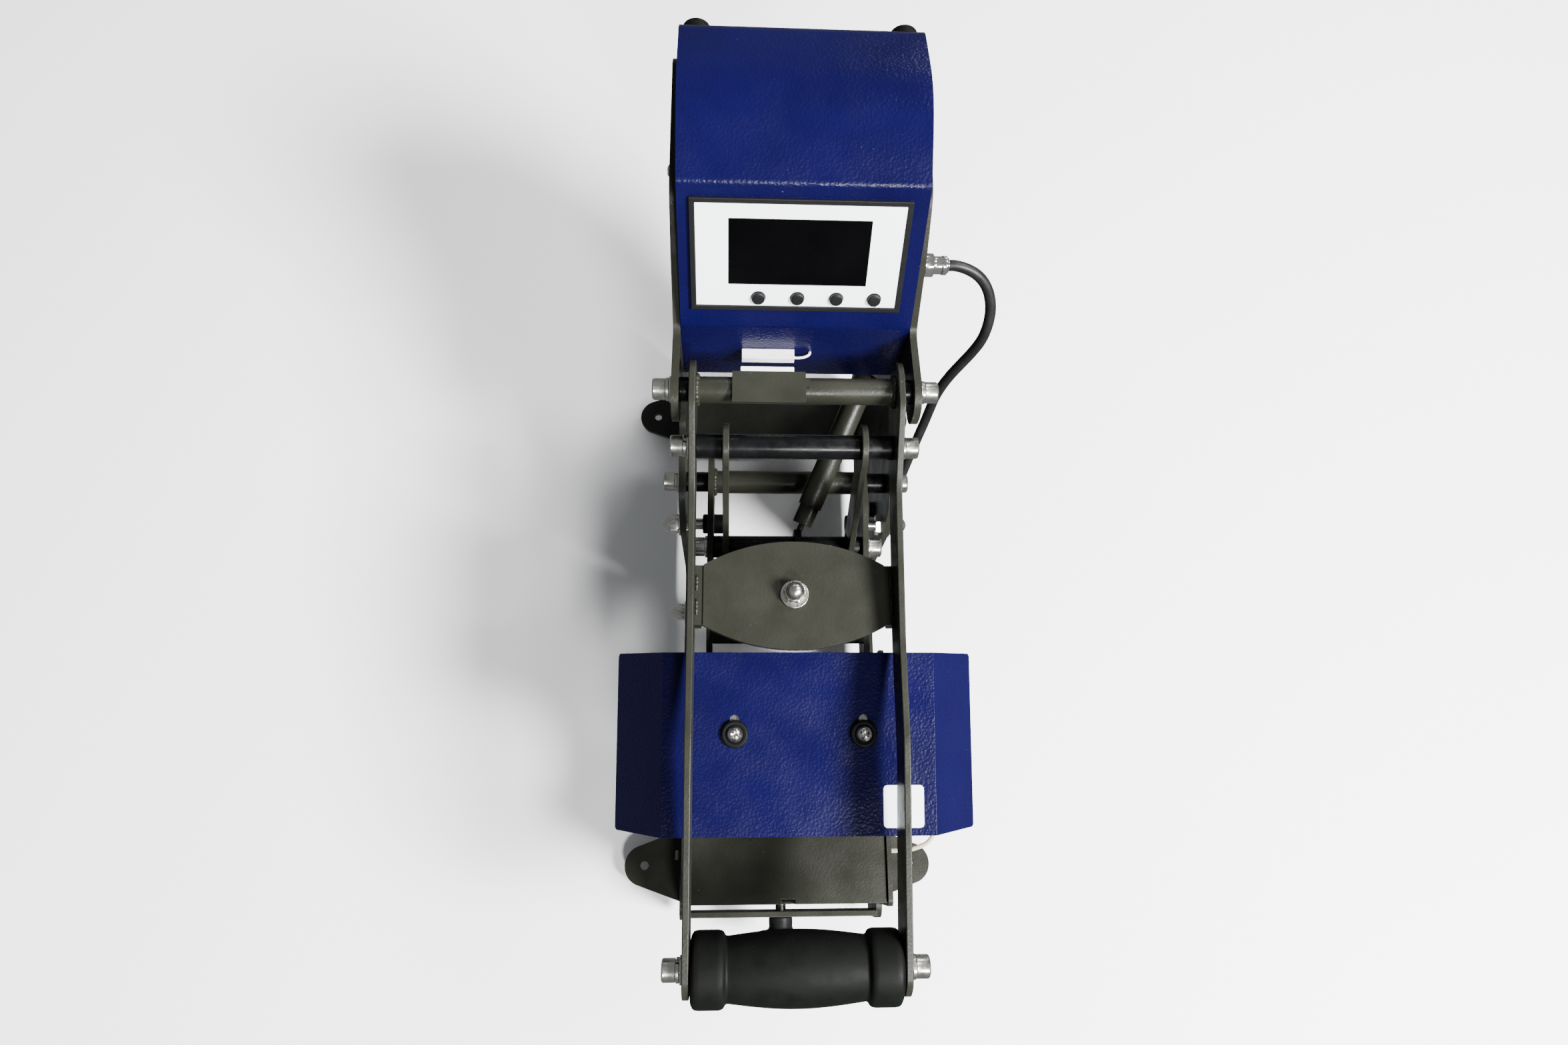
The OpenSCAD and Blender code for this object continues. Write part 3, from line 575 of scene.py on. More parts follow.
GREY = hammered_paint()
BLUE = wrinkle_blue()
SHEET = satin_black_sheet()
ZINC = zinc_plate()
NICKEL = nickel_plate()
OXIDE = black_oxide()
STEEL = rolled_steel()
RUBBER = moulded_rubber()
JACKET = cable_jacket()
BLACK = grained_plastic("black_plastic", (0.006, 0.006, 0.0065), 0.4, shiny=0.15)
WHITE = grained_plastic("white_plastic", (0.92, 0.90, 0.90), 0.38)
RED = grained_plastic("red_plastic", (0.36, 0.012, 0.012), 0.24)
FILM = white_film()
PRINT = grained_plastic("print_ink", (0.006, 0.006, 0.007), 0.5, shiny=0.1)
GLASS = dark_window()
BOARD = grained_plastic("board_green", (0.02, 0.13, 0.05), 0.35)
PAD = woven("silicone_pad", (0.36, 0.10, 0.035), 520, 0.00025, 0.55)
SLEEVE = woven("glass_sleeving", (0.52, 0.45, 0.32), 700, 0.0003, 0.75)
BRASS = Recipe("contact_brass", (0.62, 0.42, 0.16), 0.3, 1).mottle(200, 0.15).shine(400, 0.08).mat

# ---------------------------------------------------------------- cords
CABLE_D = 7 * MM
CABLE_ROUTE = [mm(*p) for p in [
    (94.5, 158, 318), (99, 158, 318), (106, 157, 316.5), (113, 155, 313.5), (119, 152, 308.5),
    (123.5, 147.5, 301.5), (126, 142, 293), (126, 136, 283.5), (124, 131, 273.5), (120, 127.5, 263),
    (115, 124.5, 252.5), (110, 121.5, 242), (106, 118.5, 231), (103, 115, 220), (101, 110.5, 208.5),
    (98.5, 104.5, 197), (95.5, 98, 186), (92.5, 91, 175), (89.5, 84, 164.5), (86.5, 77, 154.5),
    (83.5, 70.5, 145)]]
LEAD_D = 3 * MM
LEAD_ROUTE = [mm(*p) for p in [
    (67.2, -128, 138), (76, -128.5, 138.5), (83, -130, 140), (91, -134, 142.5), (96.5, -140, 145),
    (99.5, -148, 147), (100.5, -157, 148.5), (100.5, -166, 149.5), (99.5, -174.5, 150), (95, -181, 149.5),
    (86.5, -184.5, 148.5), (79.5, -185.8, 147), (67.2, -186, 145)]]

cable_line = tube_path(CABLE_ROUTE, 6)
cable = curve_tube("heater_cable_run", cable_line, CABLE_D, JACKET)
stand_for(cable, "black_rubber", "frame", "heater_cable")
lead_line = tube_path(LEAD_ROUTE, 8)
lead = curve_tube("heater_lead_run", lead_line, LEAD_D, SLEEVE)
stand_for(lead, "glass_sleeving", "frame", "heater_lead")


# ---------------------------------------------------------------- hardware
def split_washer(matrix, h, material):
    """Spring washer with its ends standing a little apart."""
    inner, outer, thick, rise, gap = 4.3, 7.0, 1.9, 0.35, 0.16
    steps = 60
    rings = []
    for i in range(steps + 1):
        t = gap / 2 + (TAU - gap) * i / steps
        lift = rise * (i / steps - 0.5)
        rings.append([matrix @ mm(r * math.cos(t), r * math.sin(t), h + lift + z) for r, z in
                      ((inner, 0), (outer - 0.25, 0), (outer, 0.25), (outer, thick - 0.25),
                       (outer - 0.25, thick), (inner, thick))])
    return add_mesh("split_washer", *loft(rings), material)


def flat_washer(matrix, h, r, thick, material):
    """Washer of radius r, all in mm."""
    profile = rounded_profile([(3.9, h), (r, h), (r, h + thick), (3.9, h + thick)], 0.3)
    return add_mesh("flat_washer", *loft([round_ring(matrix, z, rr) for rr, z in profile]), material)


def socket_head(matrix, h, depth, material):
    """Knurled head with a hexagon socket; the shank runs back by depth."""
    n = FINE
    r, tall = 6.5, 8.0
    rings = [round_ring(matrix, -depth, 3.6, n=n), round_ring(matrix, 0.6 - depth, 4, n=n),
             round_ring(matrix, h, 4, n=n), round_ring(matrix, h, r - 0.4, n=n),
             round_ring(matrix, h + 0.4, r, n=n), round_ring(matrix, h + 0.8, r, knurl, n),
             round_ring(matrix, h + tall - 1.5, r, knurl, n), round_ring(matrix, h + tall - 1.0, r, n=n),
             round_ring(matrix, h + tall - 0.3, r - 0.45, n=n), round_ring(matrix, h + tall, r - 1.1, n=n),
             round_ring(matrix, h + tall, 3.9, n=n), round_ring(matrix, h + tall - 0.5, 3.35, hexagon, n),
             round_ring(matrix, h + tall - 4.6, 3.35, hexagon, n),
             round_ring(matrix, h + tall - 5.2, 1.0, n=n)]
    return add_mesh("socket_head", *loft(rings), material, 30)


def socket_bolts(name, pins, body, nodes):
    """Socket-head bolts on both sides; pins are (outer face x, y and z, depth, washer radius, sprung)."""
    pieces = []
    for face, pin, depth, washer_r, sprung in pins:
        for side in (-1, 1):
            matrix = place(Vector((side * face, pin.y, pin.z)), (side, 0, 0))
            matrix = matrix @ Matrix.Rotation(0.5 + side * 0.9 + pin.y * 40, 4, "Z")
            pieces.append(flat_washer(matrix, 0, washer_r, 1.6, ZINC))
            if sprung:
                pieces.append(split_washer(matrix, 1.75, ZINC))
            pieces.append(socket_head(matrix, 3.8 if sprung else 1.6, depth, ZINC))
    stand_for(joined(name, pieces), "zinc_hardware", body, *nodes)


def cap_nut(matrix, h, material):
    """Domed cap nut on its washer."""
    n = FINE
    flat, corner, dome = 6.3, 6.95, 5.7
    nut = chamfered(flat)
    rings = [round_ring(matrix, h + 1.6, 3.9, n=n), round_ring(matrix, h + 1.6, corner - 0.5, nut, n),
             round_ring(matrix, h + 2.1, corner + 0.4, nut, n),
             round_ring(matrix, h + 7.2, corner + 0.4, nut, n),
             round_ring(matrix, h + 7.9, corner - 0.7, nut, n), round_ring(matrix, h + 8.0, dome, n=n)]
    steps = 10
    for i in range(1, steps):
        a = math.pi / 2 * i / steps
        rings.append(round_ring(matrix, h + 8.3 + dome * math.sin(a), dome * math.cos(a), n=n))
    rings.append(round_ring(matrix, h + 8.3 + dome, 0.05, n=n))
    return [flat_washer(matrix, h, 8.6, 1.5, material), add_mesh("cap_nut", *loft(rings), material, 30)]


def dome_screw(matrix, h, r, tall, shank, material):
    """Pan head with a cross recess."""
    n = FINE
    ball = (r * r + tall * tall) / (2 * tall)
    rings = [round_ring(matrix, h - shank, r * 0.42, n=n), round_ring(matrix, h, r * 0.42, n=n),
             round_ring(matrix, h, r - 0.15, n=n), round_ring(matrix, h + 0.25, r, n=n)]
    recess = 0.5 * r
    for i in range(1, 8):
        rr = r - (r - recess * 1.1) * i / 7
        rings.append(round_ring(matrix, h + tall - ball + math.sqrt(ball * ball - rr * rr), rr, n=n))
    top = h + tall - ball + math.sqrt(ball * ball - (recess * 0.8) ** 2)
    rings += [round_ring(matrix, top, recess, cross, n),
              round_ring(matrix, top - tall * 0.45, recess * 0.8, cross, n),
              round_ring(matrix, top - tall * 0.6, recess * 0.12, n=n)]
    return add_mesh("dome_screw", *loft(rings), material, 30)


side_pins = [(SIDE_OUT, LEVER_PIVOT, 34, 8, True), (SIDE_OUT, PRESS_PIVOT, 42, 8, True)]
socket_bolts("pivot_bolt_set", side_pins, "frame", ["pivot_bolts"])
lever_pins = [(LEVER_OUT, TOGGLE_PIN, 26, 8, True), (LEVER_OUT, HANDLE_PIN, 30, 8, True)]
socket_bolts("lever_bolt_set", lever_pins, "lever", ["lever_bolts"])
socket_bolts("link_bolt_set", [(PRESS_OUT, LINK_PIN, 24, 7.4, False)], "head", ["link_shaft_bolts"])

studs = []
for side in (-1, 1):
    for pin, inner in ((STOP_PIN, 48 * MM), (TIE_PIN, 0.5 * MM)):
        matrix = place(Vector((side * SIDE_OUT, pin.y, pin.z)), (side, 0, 0))
        studs += cap_nut(matrix @ Matrix.Rotation(side * 0.4 + pin.z * 9, 4, "Z"), 0, ZINC)
        studs.append(turned("stud_rod", Vector((side * inner, pin.y, pin.z)), (side, 0, 0),
                            [(3.6, 0), (4, 0.5), (4, (SIDE_OUT - inner) / MM + 1)], ZINC, 0))
    jam = place(Vector((side * (SIDE_IN - 4 * MM), STOP_PIN.y, STOP_PIN.z)), (side, 0, 0))
    jam_rings = [round_ring(jam, h, 6.5, hexagon, 72) for h in (0, 4)]
    studs.append(add_mesh("jam_nut", *loft(jam_rings), ZINC, 30))
anchor = place(Vector((0, SPRING_PIN.y, SPRING_PIN.z)), (1, 0, 0))
for low, high in ((64, SIDE_IN / MM), (SIDE_OUT / MM, SIDE_OUT / MM + 4)):
    nut_rings = [round_ring(anchor, h, 5.9, hexagon, 72) for h in (low, high)]
    studs.append(add_mesh("anchor_nut", *loft(nut_rings), ZINC, 30))
studs.append(turned("anchor_bolt", mm(56, SPRING_PIN.y / MM, SPRING_PIN.z / MM), (1, 0, 0),
                    [(3.4, 0), (4, 0.7), (4, SIDE_OUT / MM - 55)], ZINC, 0))
stand_for(joined("stud_set", studs), "zinc_hardware", "frame", "side_studs")

# ---------------------------------------------------------------- plates that keep their CAD shape
for node, material, slot, width in [
    ("side_plate_left", GREY, "steel_grey_paint", 0.7),
    ("side_plate_right", GREY, "steel_grey_paint", 0.7),
    ("base_plates", GREY, "steel_grey_paint", 0.6),
    ("front_cross_bar", GREY, "steel_grey_paint", 0.6),
    ("bed_box", GREY, "steel_grey_paint", 0.8),
    ("bed_cheeks", GREY, "steel_grey_paint", 0.5),
    ("lever_arms", GREY, "steel_grey_paint", 0.7),
    ("press_arms", GREY, "steel_grey_paint", 0.6),
    ("toggle_links", GREY, "steel_grey_paint", 0.6),
    ("oval_brace", GREY, "steel_grey_paint", 0.5),
    ("magnet_bracket", GREY, "steel_grey_paint", 0.4),
    ("head_plates", OXIDE, "black_oxide_steel", 0.5),
    ("housing_cover", BLUE, "blue_paint", 0.6),
    ("head_cover", BLUE, "blue_paint", 0.55),
    ("rear_panel", SHEET, "dark_sheet", 0.4),
    ("display_bezel", BLACK, "black_plastic", 0.45),
    ("face_plate", FILM, "white_face", 0.15),
    ("display_window", GLASS, "display_glass", 0.25),
    ("power_inlet", BLACK, "black_plastic", 0.5),
    ("power_rocker", RED, "red_plastic", 0.7),
    ("magnet", WHITE, "white_plastic", 0.5),
    ("lower_saddle", STEEL, "bare_steel", 0.3),
    ("upper_saddle", STEEL, "bare_steel", 0.3),
    ("lower_heater_pad", PAD, "silicone_pad", 0.8),
    ("upper_heater_pad", PAD, "silicone_pad", 0.8),
    ("blank_label", FILM, "white_face", 0.08),
]:
    crisp(node, material, slot, width)
for node, material in (("circuit_board", BOARD), ("power_supply", STEEL)):
    frame["nodes"][node].data.materials.clear()
    frame["nodes"][node].data.materials.append(material)

# ---------------------------------------------------------------- tubes and shafts
for node, half, r, wall, pin, material, slot, body in [
    ("pivot_tube", LEVER_IN, 8, 3.5, LEVER_PIVOT, GREY, "steel_grey_paint", "lever"),
    ("press_pivot_tube", PRESS_IN, 8, 3.5, PRESS_PIVOT, GREY, "steel_grey_paint", "head"),
    ("toggle_shaft", LEVER_IN, 7.5, 3, TOGGLE_PIN, OXIDE, "black_oxide_steel", "lever"),
    ("link_shaft", PRESS_IN, 7.5, 3, LINK_PIN, OXIDE, "black_oxide_steel", "head"),
    ("handle_core", LEVER_IN, 9, 4, HANDLE_PIN, STEEL, "bare_steel", "lever"),
]:
    tube = turned(node + "_bar", Vector((-half, pin.y, pin.z)), (1, 0, 0),
                  [(r - wall, 0), (r, 0), (r, 2 * half / MM), (r - wall, 2 * half / MM)], material, 0.5)
    stand_for(tube, slot, body, node)

spacers = []
for side in (-1, 1):
    for pin, start, r in ((LEVER_PIVOT, LEVER_OUT, 7.5), (PRESS_PIVOT, PRESS_OUT, 7)):
        gap = (SIDE_IN - start) / MM - 0.3
        spacers.append(turned("spacer", Vector((side * (start + 0.3 * MM), pin.y, pin.z)), (side, 0, 0),
                              [(4.1, 0), (r, 0), (r, gap), (4.1, gap)], OXIDE, 0.5))
stand_for(joined("spacer_set", spacers), "black_oxide_steel", "frame", "pivot_spacers")


# ---------------------------------------------------------------- weld beads
BEAD_SIDES = 10
RIPPLE = 5  # points of the path to one ripple


def bead(name, path, width, seed, closed):
    """A rippled weld bead along a path, with tapered ends if it isn't closed."""
    rng = random.Random(seed)
    rings = []
    count = len(path)
    for i, p in enumerate(path):
        ahead = path[(i + 1) % count] if closed else path[min(i + 1, count - 1)]
        behind = path[i - 1] if closed or i else path[0]
        run = (ahead - behind).normalized()
        side = run.cross(Vector((0.31, 0.45, 0.83))).normalized()
        up = run.cross(side)
        swell = 1 + 0.16 * math.sin(i * TAU / RIPPLE) + rng.uniform(-0.1, 0.1)
        ends = 1 if closed else min(1, 0.35 + 0.65 * min(i, count - 1 - i) / 4)
        r = width / 2 * swell * ends
        rings.append([p + r * (math.cos(TAU * k / BEAD_SIDES) * side + math.sin(TAU * k / BEAD_SIDES) * up)
                      for k in range(BEAD_SIDES)])
    return add_mesh(name, *loft(rings, closed), GREY, 60)


def round_bead(name, x, pin, r, width, seed):
    """Bead round a tube of radius r on a pin along x."""
    path = [Vector((x, pin.y + r * math.cos(TAU * k / 90), pin.z + r * math.sin(TAU * k / 90)))
            for k in range(90)]
    return bead(name, path, width, seed, True)


def straight_bead(name, start, end, width, seed):
    """Bead from start to end, with a point every half millimetre."""
    count = int((end - start).length / (0.5 * MM))
    return bead(name, [start.lerp(end, i / count) for i in range(count + 1)], width, seed, False)


TUBE_R = 8.2 * MM
LEVER_WELD_X = LEVER_IN - 0.4 * MM
HEAD_WELD_X = PRESS_IN - 0.4 * MM
BRACE_X = 59
BRACE_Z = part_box("oval_brace")[0].z / MM + 10
BASE_X = SIDE_OUT / MM + 0.4
BASE_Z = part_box("base_plates")[1].z / MM + 0.4
for side in (-1, 1):
    stem = "right" if side > 0 else "left"
    weld = round_bead("lever_weld_" + stem, side * LEVER_WELD_X, LEVER_PIVOT, TUBE_R, 3.4 * MM, 3 + side)
    stand_for(weld, "steel_grey_paint", "lever")
    weld = round_bead("head_weld_" + stem, side * HEAD_WELD_X, PRESS_PIVOT, TUBE_R, 3 * MM, 7 + side)
    stand_for(weld, "steel_grey_paint", "head")
    for y, seed in ((-31, 11), (-46, 17)):
        weld = straight_bead(f"brace_weld_{stem}_{seed}", mm(side * BRACE_X, y - 5, BRACE_Z),
                             mm(side * BRACE_X, y + 5, BRACE_Z), 2.4 * MM, seed + side)
        stand_for(weld, "steel_grey_paint", "lever")
    for y, seed in ((-209, 21), (-180, 23), (172, 27), (200, 29)):
        weld = straight_bead(f"base_weld_{stem}_{seed}", mm(side * BASE_X, y - 9, BASE_Z),
                             mm(side * BASE_X, y + 9, BASE_Z), 3.2 * MM, seed + side)
        stand_for(weld, "steel_grey_paint", "frame")

# ---------------------------------------------------------------- handle, feet, bumpers, buffer
half_l = LEVER_IN / MM - 0.5
barrel_end, barrel_r, neck_r = half_l - 21, 20.9, 17.7
barrel = [(neck_r + (barrel_r - neck_r) * math.cos(math.pi / 2 * i / 12), barrel_end * i / 12)
          for i in range(-12, 13)]
collar = [(9.3, half_l), (17.6, half_l), (20.5, half_l - 1.6), (21, half_l - 4.4), (21, half_l - 16),
          (20.3, half_l - 18.4), (18.1, half_l - 19.6), (17.75, half_l - 20.4)]
grip = turned("handle_rubber", HANDLE_PIN, (1, 0, 0),
              [(r, -h) for r, h in collar] + barrel + collar[::-1], RUBBER, 1.1, 96)
stand_for(grip, "black_rubber", "lever", "handle_grip")

FOOT_X, FOOT_Y = 58, (-195, 187)
BACK_STOP_X, BACK_STOP_Z = 60.5, 386.5
HOUSING_BACK = 262
foot_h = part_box("base_plates")[0].z / MM
foot_profile = [(3, 1.2), (3.2, 0), (10.6, 0), (11.8, 3), (13, foot_h), (3, foot_h)]
back_stop_profile = [(0.01, 0), (9, 0), (8.8, 3.4), (8, 8), (3.4, 8), (3.0, 6.6), (0.01, 6.6)]
feet = []
for side in (-1, 1):
    for y in FOOT_Y:
        feet.append(turned("foot", mm(side * FOOT_X, y, 0), (0, 0, 1), foot_profile, RUBBER, 1.2))
    feet.append(turned("back_stop", mm(side * BACK_STOP_X, HOUSING_BACK, BACK_STOP_Z), (0, 1, 0),
                       back_stop_profile, RUBBER, 1.2))
stand_for(joined("foot_set", feet), "black_rubber", "frame", "rubber_feet")

stops = [turned("stop", Vector((side * 44 * MM, STOP_PIN.y, STOP_PIN.z)), (side, 0, 0),
                [(0.01, 0), (7, 0), (7, 15), (4.1, 15)], RUBBER, 1.2) for side in (-1, 1)]
stand_for(joined("stop_set", stops), "black_rubber", "frame", "stop_bumpers")

buffer_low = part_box("rubber_buffer")[0].z / MM
brace_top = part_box("oval_brace")[1].z / MM
brace_y = centre("buffer_stud").y / MM
buffer_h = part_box("rubber_buffer")[1].z / MM - buffer_low
buffer_pad = turned("buffer_pad", mm(0, brace_y, buffer_low), (0, 0, 1),
                    [(0.01, 0), (20, 0), (21, 1.5), (21, 7), (19, 9), (12.4, 12.6), (11, buffer_h - 1),
                     (10, buffer_h), (0.01, buffer_h)], RUBBER, 1.2)
stand_for(buffer_pad, "black_rubber", "head", "rubber_buffer")
top = place(mm(0, brace_y, brace_top), (0, 0, 1))
lock = place(mm(0, brace_y, brace_top - 4), (0, 0, -1))
stud = cap_nut(top @ Matrix.Rotation(0.35, 4, "Z"), 0, ZINC)
lock_rings = [round_ring(lock, h, r, chamfered(6.5), FINE)
              for h, r in ((0, 6.9), (0.5, 7.4), (5.9, 7.4), (6.5, 6.9))]
stud.append(add_mesh("lock_nut", *loft(lock_rings), ZINC, 30))
stud_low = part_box("buffer_stud")[0].z / MM
stud.append(turned("stud_rod", mm(0, brace_y, stud_low), (0, 0, 1),
                   [(3.4, 0), (4, 0.6), (4, brace_top - stud_low + 1)], ZINC, 0))
stand_for(joined("buffer_stud_set", stud), "zinc_hardware", "lever", "buffer_stud")

# ---------------------------------------------------------------- head cover's grommets and screws
COVER_X = 3.5
SCREW_DX = 39
SCREW_Y = 6.5
grommets, screws = [], []
grommet_profile = [(2.7, -7), (8, -7), (8, -1.6), (5.9, -1.4), (5.9, 0.05), (7.7, 0.1),
                   (8.3, 0.9), (8.1, 2.6), (7.2, 3.1), (5.6, 3.0), (5.4, 2.4), (2.7, 2.3)]
for side in (-1, 1):
    seat = HEAD @ Matrix.Translation(mm(COVER_X + side * SCREW_DX, SCREW_Y, 0))
    grommet_rings = [round_ring(seat, h, r) for r, h in rounded_profile(grommet_profile, 0.5)]
    grommets.append(add_mesh("grommet", *loft(grommet_rings), RUBBER))
    screws.append(flat_washer(seat @ Matrix.Translation(mm(0, 4.5, 0)), -3.6, 9.2, 0.9, ZINC))
    screws.append(dome_screw(seat @ Matrix.Rotation(0.6 * side + 0.5, 4, "Z"), 2.6, 5.2, 4.6, 12, ZINC))
stand_for(joined("grommet_set", grommets), "black_rubber", "head", "cover_grommets")
stand_for(joined("cover_screw_set", screws), "zinc_hardware", "head", "cover_screws")

sheet_screws = []
for side in (-1, 1):
    matrix = place(mm(side * SIDE_OUT / MM, 190, 361), (side, 0, 0)) @ Matrix.Rotation(0.7 + side, 4, "Z")
    sheet_screws.append(dome_screw(matrix, 0, 4.6, 2.6, 7, ZINC))
    matrix = place(mm(side * 58, HOUSING_BACK - 0.5, 352), (0, 1, 0)) @ Matrix.Rotation(0.4 + side, 4, "Z")
    sheet_screws.append(dome_screw(matrix, 0, 3.0, 1.9, 0.3, ZINC))
stand_for(joined("sheet_screw_set", sheet_screws), "zinc_hardware", "frame", "housing_screws")

# ---------------------------------------------------------------- return spring's guard and rod
spring_from = Vector((0.060, SPRING_PIN.y, SPRING_PIN.z))
spring_to = Vector((0.003, LINK_PIN.y, LINK_PIN.z))
spring_dir = (spring_to - spring_from).normalized()
spring_len = (spring_to - spring_from).length / MM
RING_R = 9.4


def hoop(name, origin, axis, r_in, r_out, h0, h1, material):
    """A ring with a hole, its corners rounded."""
    matrix = place(origin, axis)
    c = min(0.6, (r_out - r_in) / 3)
    profile = [(r_in, h0 + c), (r_in + c, h0), (r_out - c, h0), (r_out, h0 + c),
               (r_out, h1 - c), (r_out - c, h1), (r_in + c, h1), (r_in, h1 - c)]
    return add_mesh(name, *loft([round_ring(matrix, h, r) for r, h in profile], True), material)


guard = [turned("guard_tube", spring_from, spring_dir,
                [(0.01, 22), (6.8, 22), (6.8, 116), (8, 116), (8, 18), (3, 17), (3, 3), (0.01, 3)],
                GREY, 0.35),
         hoop("guard_eye", Vector((0, SPRING_PIN.y, SPRING_PIN.z)), (1, 0, 0), 4.05, 5.5, 57.5, 62.5, GREY)]
stand_for(joined("guard_set", guard), "steel_grey_paint", "spring_guard", "spring_tube")
bar_end = spring_len - RING_R - 1
pull = [turned("pull_bar", spring_from, spring_dir,
               [(0.01, 50), (5.5, 50), (5.5, 54), (2, 54), (2, bar_end), (0.01, bar_end)], OXIDE, 0.3),
        hoop("pull_ring", Vector((0, LINK_PIN.y, LINK_PIN.z)), (1, 0, 0), RING_R, RING_R + 3, 4, 9, OXIDE)]
stand_for(joined("pull_set", pull), "black_oxide_steel", "spring_rod", "pull_rod")
sleeve = turned("guard_sleeve", spring_from, spring_dir,
                [(2.02, 106), (5.7, 106), (5.7, 129), (6.74, 129), (6.74, 104), (2.02, 104)], GREY, 0.25)
stand_for(sleeve, "steel_grey_paint", "spring_rod")


# ---------------------------------------------------------------- pressure screw with its star knob
def star(t, r):
    """Radius of a knob with six lobes."""
    return r - 2.2 + 2.2 * math.cos(6 * t)


knob_base = Vector((0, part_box("front_cross_bar")[0].y - 0.6 * MM, SCREW_Z))
knob = place(knob_base, (0, -1, 0))
knob_rings = [round_ring(knob, h, r, n=FINE) for r, h in
              ((4.2, 0), (7.9, 0), (8.6, 0.5), (8.8, 1.6), (8.6, 6.5), (9.2, 8.2), (11, 9.0))]
knob_rings += [round_ring(knob, h, r, star, FINE) for h, r in
               ((9.1, 13.6), (9.6, 15.6), (11, 16.8), (14, 17), (19, 17), (21, 16.4), (21.8, 14.6))]
knob_rings += [round_ring(knob, h, r, n=FINE) for h, r in ((22, 9.5), (22, 6.4), (21.3, 5.9), (21.3, 0.05))]
star_knob = add_mesh("star_knob", *loft(knob_rings), BLACK, 40)
stand_for(star_knob, "black_plastic", "pressure_knob", "adjusting_knob")

PITCH = 1.25
THREAD_DEPTH = 0.35
thread_rings = []
for i in range(80):
    h = -0.4 + 9.2 * i / 79
    thread_rings.append(round_ring(
        knob, -h, 4, lambda t, r, h=h: r - THREAD_DEPTH * abs(2 * ((h / PITCH + t / TAU) % 1) - 1)))
thread = add_mesh("pressure_thread", *loft(thread_rings), ZINC, 60)
stand_for(thread, "zinc_hardware", "pressure_knob")
pad_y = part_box("screw_pad")[1].y
pad = turned("pressure_foot", Vector((0, pad_y, SCREW_Z)), (0, -1, 0),
             [(0.01, 0), (6, 0), (6, 3), (0.01, 3)], ZINC, 0.6)
stand_for(pad, "zinc_hardware", "pressure_pad", "screw_pad")

# ---------------------------------------------------------------- control panel
KEY_Y = 21.8
KEY_X = (-23.5, -0.5, 22.5, 45)
LEGEND_Y = 17.7
FILM_TOP = 1.4
key_profile = [(1.6, -2.4), (1.6, 0.3), (3.9, 0.3), (3.9, 3.1), (3.5, 3.65), (2.2, 3.86), (0.01, 3.9)]
for x, name in zip(KEY_X, ("up", "enter", "down", "reset")):
    seat = PANEL @ Matrix.Translation(mm(x, KEY_Y, 0))
    cap_rings = [round_ring(seat, h, r) for r, h in rounded_profile(key_profile, 0.25)]
    cap = add_mesh(name + "_cap", *loft(cap_rings), BLACK)
    stand_for(cap, "black_plastic", name + "_key", "key_" + name)


def triangle(x, y, size, way):
    """Outline of a triangle that points up the panel, or down it if way is -1."""
    return [(x - size, y - way * size * 0.6), (x + size, y - way * size * 0.6), (x, y + way * size * 0.7)]


def arc_band(x, y, r, width, start, end, steps=14):
    """Outline of an arc of a ring, anticlockwise."""
    angles = [math.radians(start + (end - start) * i / steps) for i in range(steps + 1)]
    outer = [(x + r * math.cos(a), y + r * math.sin(a)) for a in angles]
    inner = [(x + (r - width) * math.cos(a), y + (r - width) * math.sin(a)) for a in reversed(angles)]
    return outer + inner


legends = [triangle(KEY_X[0], LEGEND_Y, 1.5, 1), arc_band(KEY_X[1], LEGEND_Y, 1.1, 1.09, 0, 359),
           triangle(KEY_X[2], LEGEND_Y, 1.5, -1), arc_band(KEY_X[3], LEGEND_Y, 1.3, 0.4, -30, 250),
           [(KEY_X[3] + 0.5, LEGEND_Y - 0.6), (KEY_X[3] + 1.8, LEGEND_Y - 0.6),
            (KEY_X[3] + 1.15, LEGEND_Y - 1.5)]]
inks = [prism("ink", PANEL, outline, FILM_TOP - 0.05, FILM_TOP + 0.04, PRINT) for outline in legends]
stand_for(joined("key_legends", inks), "black_plastic", "frame")

# ---------------------------------------------------------------- reed switch with its lead
reed_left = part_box("reed_switch")[0].x / MM
reed_low, reed_high, reed_front, reed_back, reed_l = 278, 285.5, 109, 115.8, 33
profile = [(reed_front, reed_low + 1.7), (reed_front + 1.4, reed_low), (reed_back, reed_low),
           (reed_back, reed_high), (reed_front, reed_high)]
along_x = Matrix(((0, 0, 1, 0), (1, 0, 0, 0), (0, 1, 0, 0), (0, 0, 0, 1)))
reed = prism("reed_body", along_x, profile, reed_left, reed_left + reed_l, WHITE, 0.35)
reed_lead = curve_tube("reed_wire", tube_path([mm(*p) for p in (
    (-1.5, 112, 282), (2.5, 111.6, 281.7), (6.5, 111.8, 282.3), (9.5, 113, 282.7), (10.5, 114.6, 282.1),
    (10.6, 115.9, 281.5))], 8), 1.6 * MM, WHITE)
stand_for(reed, "white_plastic", "frame", "reed_switch")
stand_for(reed_lead, "white_plastic", "frame")

# ---------------------------------------------------------------- cable connector and gland
socket_at = place(Vector((SIDE_OUT, SOCKET.y, SOCKET.z)), (1, 0, 0))


def knurled_ring(matrix, h0, h1, r, material):
    """Coupling ring from h0 to h1 with a knurled grip."""
    rings = [round_ring(matrix, h, radius, shape, FINE) for h, radius, shape in (
        (h0, r - 1.2, None), (h0, r - 0.3, None), (h0 + 0.4, r, None), (h0 + 0.8, r, knurl),
        (h1 - 0.8, r, knurl), (h1 - 0.4, r, None), (h1, r - 0.4, None), (h1, r - 1.6, None))]
    return add_mesh("knurled_ring", *loft(rings), material, 30)


